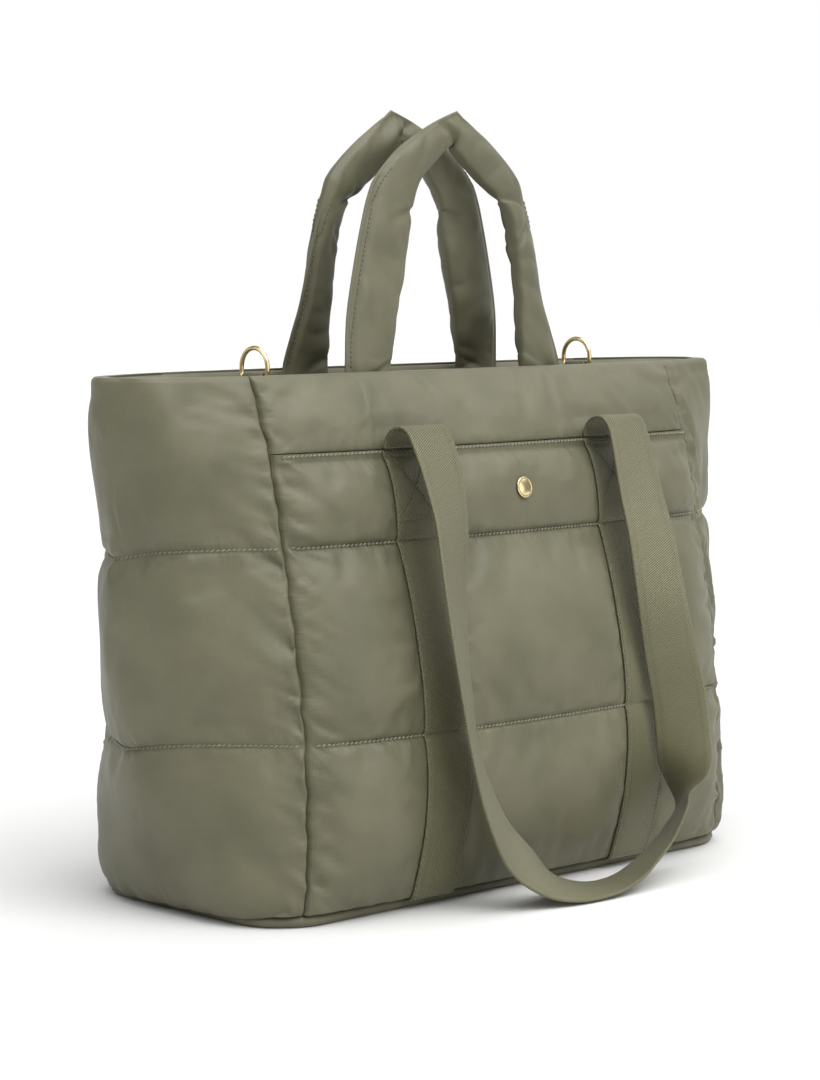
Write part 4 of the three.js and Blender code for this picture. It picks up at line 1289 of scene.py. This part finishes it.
snap = {"foot": 6.4, "rimMiddle": 6.6, "rimRound": 0.6, "dome": 5.0, "seat": 6.5, "sides": 48}


def addSnap():
    # turned profile: a foot, a rounded rim, a shallow groove and a low dome, set square on the pocket
    middle = np.array([0.0]), np.array([pocket["snapZ"]])
    spot = sampleGrid(pocketOuter, panelU, pocketV, *middle)[0]
    up = unit(sampleGrid(gridNormals(pocketOuter), panelU, pocketV, *middle))[0]
    side = unit(np.cross(np.array([0.0, 0.0, 1.0]), up))
    rise = np.cross(up, side)
    rim = np.radians(np.linspace(-90, 90, 9))
    dome = np.linspace(snap["dome"], 0.35, 8)
    rimRadius = snap["rimMiddle"] + snap["rimRound"] * np.cos(rim)
    radius = np.concatenate([[snap["foot"]], rimRadius, [6.2, 5.9, 5.5], dome])
    domeRise = 1.8 + 0.6 * (1 - (dome / 5.2) ** 2)
    out = np.concatenate([[-0.6], 1.1 + 0.7 * np.sin(rim), [1.72, 1.62, 1.75], domeRise])
    turn = np.arange(snap["sides"]) * 2 * math.pi / snap["sides"]
    flat = side * np.cos(turn)[:, None] + rise * np.sin(turn)[:, None]
    besideX, besideZ = snap["seat"] * np.cos(turn), pocket["snapZ"] + snap["seat"] * np.sin(turn)
    around = sampleGrid(pocketOuter, panelU, pocketV, besideX, besideZ)
    seat = max(float(((around - spot) @ up).max()), 0.0)
    points = spot + radius[:, None, None] * flat[None] + (out[:, None, None] + seat) * up
    quads = tubeFaces(len(radius), snap["sides"], turn, radius)[0]
    piece = addPiece("snapCap", points, quads, np.zeros((len(quads), 4, 2)), brass, "brass")
    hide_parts("pocket_snap")


addSnap()
print("hardware made")


# rows of stitching

sewing = {"reach": 192.5, "hem": 294.9, "stripLow": 10, "stripTop": 291, "stripEdge": 17.6, "stripLift": 2.0,
          "box": 15, "boxLow": 252.0, "boxTop": 293.0, "webPitch": 2.8, "webSlant": 0.1, "plainSlant": 0.05,
          "pocketLift": 0.8, "backLift": -0.4, "endLift": 0.3}
wholeX = np.linspace(-sewing["reach"], sewing["reach"], 200)
wholeT = np.linspace(0.01, 0.99, 160)


def stripRows(grid, vs, sign):
    # the two edges of each strip, then the crossed box that takes the load below the fold
    rows = []
    box, low, top = sewing["box"], sewing["boxLow"], sewing["boxTop"]
    legs = [((-box, low), (box, low)), ((-box, low), (box, top)),
            ((box, low), (-box, top)), ((-box, top), (box, top))]
    up = np.linspace(sewing["stripLow"], sewing["stripTop"], 150)
    s = np.linspace(0, 1, 30)
    lift = sewing["stripLift"] * sign
    for middle in (-stripX, stripX):
        for edge in (-sewing["stripEdge"], sewing["stripEdge"]):
            rows.append(lineOn(grid, panelU, vs, middle + edge, up, lift))
        for (x0, z0), (x1, z1) in legs:
            rows.append(lineOn(grid, panelU, vs, middle + x0 + (x1 - x0) * s, z0 + (z1 - z0) * s, lift))
    return [(path, normal * sign) for path, normal in rows]


webSewing = {"pitch": sewing["webPitch"], "slant": sewing["webSlant"], "thread": webbingThreadAndSeamShade}
pocketRows = [lineOn(pocketOuter, panelU, pocketV, wholeX, z, sewing["pocketLift"])
              for z in (*quilts, sewing["hem"])]
addStitches("pocketStitches", pocketRows)
addStitches("pocketStripStitches", stripRows(pocketOuter, pocketV, 1), **webSewing)
backRows = [lineOn(backOuter, panelU, backV, wholeX, z, sewing["backLift"]) for z in (*quilts, pocketTop)]
addStitches("backStitches", [(path, -normal) for path, normal in backRows])
addStitches("backStripStitches", stripRows(backOuter, backV, -1), **webSewing)
for name, grid in [("endStitchesLeft", endLeft), ("endStitchesRight", endRight)]:
    addStitches(name, [lineOn(grid, endT, endV, wholeT, z, sewing["endLift"]) for z in quilts])


def handleRows(rings):
    # along the inner side of the flange on both faces of the two legs
    count, columns = rings.shape[:2]
    q = 0.5 - 0.5 * np.cos(2 * math.pi * np.arange(columns // 2) / columns)
    column = int(np.argmin(np.abs(q - 0.12)))
    rows = []
    for first, last in [(0.02, 0.36), (0.7, 0.98)]:
        part = slice(int(count * first), int(count * last))
        near, far = rings[part, column], rings[part, columns - column]
        up = unit(near - far)
        rows += [(near, up), (far, -up)]
    return rows


# painted shade: the handles' stitches take the dark thread so that the flange seams read as shaded
for name, rings in [("handleStitchesFront", handleFront), ("handleStitchesBack", handleBack)]:
    addStitches(name, handleRows(rings), slant=sewing["plainSlant"], thread=webbingThreadAndSeamShade)
hemLoop = np.concatenate([facingGrid[2], facingGrid[2][:1]])
hemUp = np.tile(np.array([0.0, 0.0, 1.0]), (len(hemLoop), 1))
addStitches("mouthStitches", [(hemLoop, hemUp)], slant=sewing["plainSlant"])
print("stitching made")


# plain pale floor, soft studio light

studio = {"floor": 12.0, "air": 0.28, "backdrop": 1.0, "behind": (0.70, 0.71, 0.0), "glowFrom": 0.5,
          "glowTo": 0.85, "lamps": [
    {"name": "topLamp", "from": (0.05, -0.60, 0.80), "power": 1.6, "wide": 42},
    {"name": "overheadLamp", "from": (-0.08, -0.04, 1.0), "power": 1.15, "wide": 40},
    {"name": "rightLamp", "from": (0.52, -0.26, 0.82), "power": 1.0, "wide": 62},
    {"name": "leftLamp", "from": (-0.45, -0.40, 0.80), "power": 0.8, "wide": 50},
    {"name": "frontLamp", "from": (0.15, -0.97, 0.15), "power": 1.0, "wide": 60},
], "rim": {"place": (-1.7, 0.7, 1.1), "target": (-0.2, 0, 0.3), "size": 1.2, "power": 6.0,
           "colour": "#fdfeff"}}


def makeFloor():
    # Seamless paper with a grain of about 4 mm: a flat square under the bag, matt and almost even
    half = studio["floor"]
    mesh = bpy.data.meshes.new("paperFloor")
    corners = [(-half, -half, 0), (half, -half, 0), (half, half, 0), (-half, half, 0)]
    mesh.from_pydata(corners, [], [(0, 1, 2, 3)])
    material, tree, shader = newMaterial("seamlessPaper", "#d6d6d5")
    place = addNode(tree, "TexCoord").outputs["Object"]
    grain = addNode(tree, "TexNoise", {"Vector": place, "Scale": 1000 / 4, "Detail": 2.0})
    tone = addNode(tree, "ValToRGB", {"Fac": grain}, ramp=[(0.0, "#d4d4d3"), (1.0, "#d8d8d7")])
    plug(tree, shader, {"Base Color": tone, "Roughness": 0.9})
    mesh.materials.append(material)
    floor = bpy.data.objects.new("paperFloor", mesh)
    scene.collection.objects.link(floor)


def addLamp(name, kind, power, aim, place=(0, 0, 0)):
    # a lamp of the given kind, turned by the aim
    data = bpy.data.lights.new(name, kind)
    data.energy = power
    lamp = bpy.data.objects.new(name, data)
    lamp.matrix_world = Matrix.Translation(place) @ aim.to_matrix().to_4x4()
    scene.collection.objects.link(lamp)
    return data


def lightStudio():
    # even white air round the bag, brighter where the backdrop stands and seen as plain white, very wide
    # lamps high in front, overhead and to both sides, one level with the bag, and a softbox behind the
    # left end
    world = bpy.data.worlds.new("studioAir")
    world.use_nodes = True
    tree = world.node_tree
    tree.nodes.clear()
    rays = addNode(tree, "LightPath")
    way = addNode(tree, "TexCoord").outputs["Generated"]
    backwards = addNode(tree, "VectorMath", {0: way, 1: studio["behind"]}, operation="DOT_PRODUCT")
    glow = addNode(tree, "MapRange", {
        "Value": backwards.outputs["Value"], "From Min": studio["glowFrom"], "From Max": studio["glowTo"],
        "To Min": studio["air"], "To Max": studio["backdrop"]})
    white = toLinear("#ffffff")
    lit = addNode(tree, "Background", {"Color": white, "Strength": glow})
    seen = addNode(tree, "Background", {"Color": white, "Strength": studio["backdrop"]})
    both = addNode(tree, "MixShader", {0: rays.outputs["Is Camera Ray"], 1: lit, 2: seen})
    addNode(tree, "OutputWorld", {"Surface": both})
    scene.world = world
    for lamp in studio["lamps"]:
        sun = addLamp(lamp["name"], "SUN", lamp["power"], Vector(lamp["from"]).to_track_quat("Z", "Y"))
        sun.angle = math.radians(lamp["wide"])
    rim = studio["rim"]
    aim = (Vector(rim["target"]) - Vector(rim["place"])).to_track_quat("-Z", "Y")
    softbox = addLamp("rimLamp", "AREA", rim["power"], aim, rim["place"])
    softbox.shape = "SQUARE"
    softbox.size = rim["size"]
    softbox.color = toLinear(rim["colour"])[:3]


makeFloor()
lightStudio()
scene.view_settings.view_transform = "Standard"
print("studio lit")
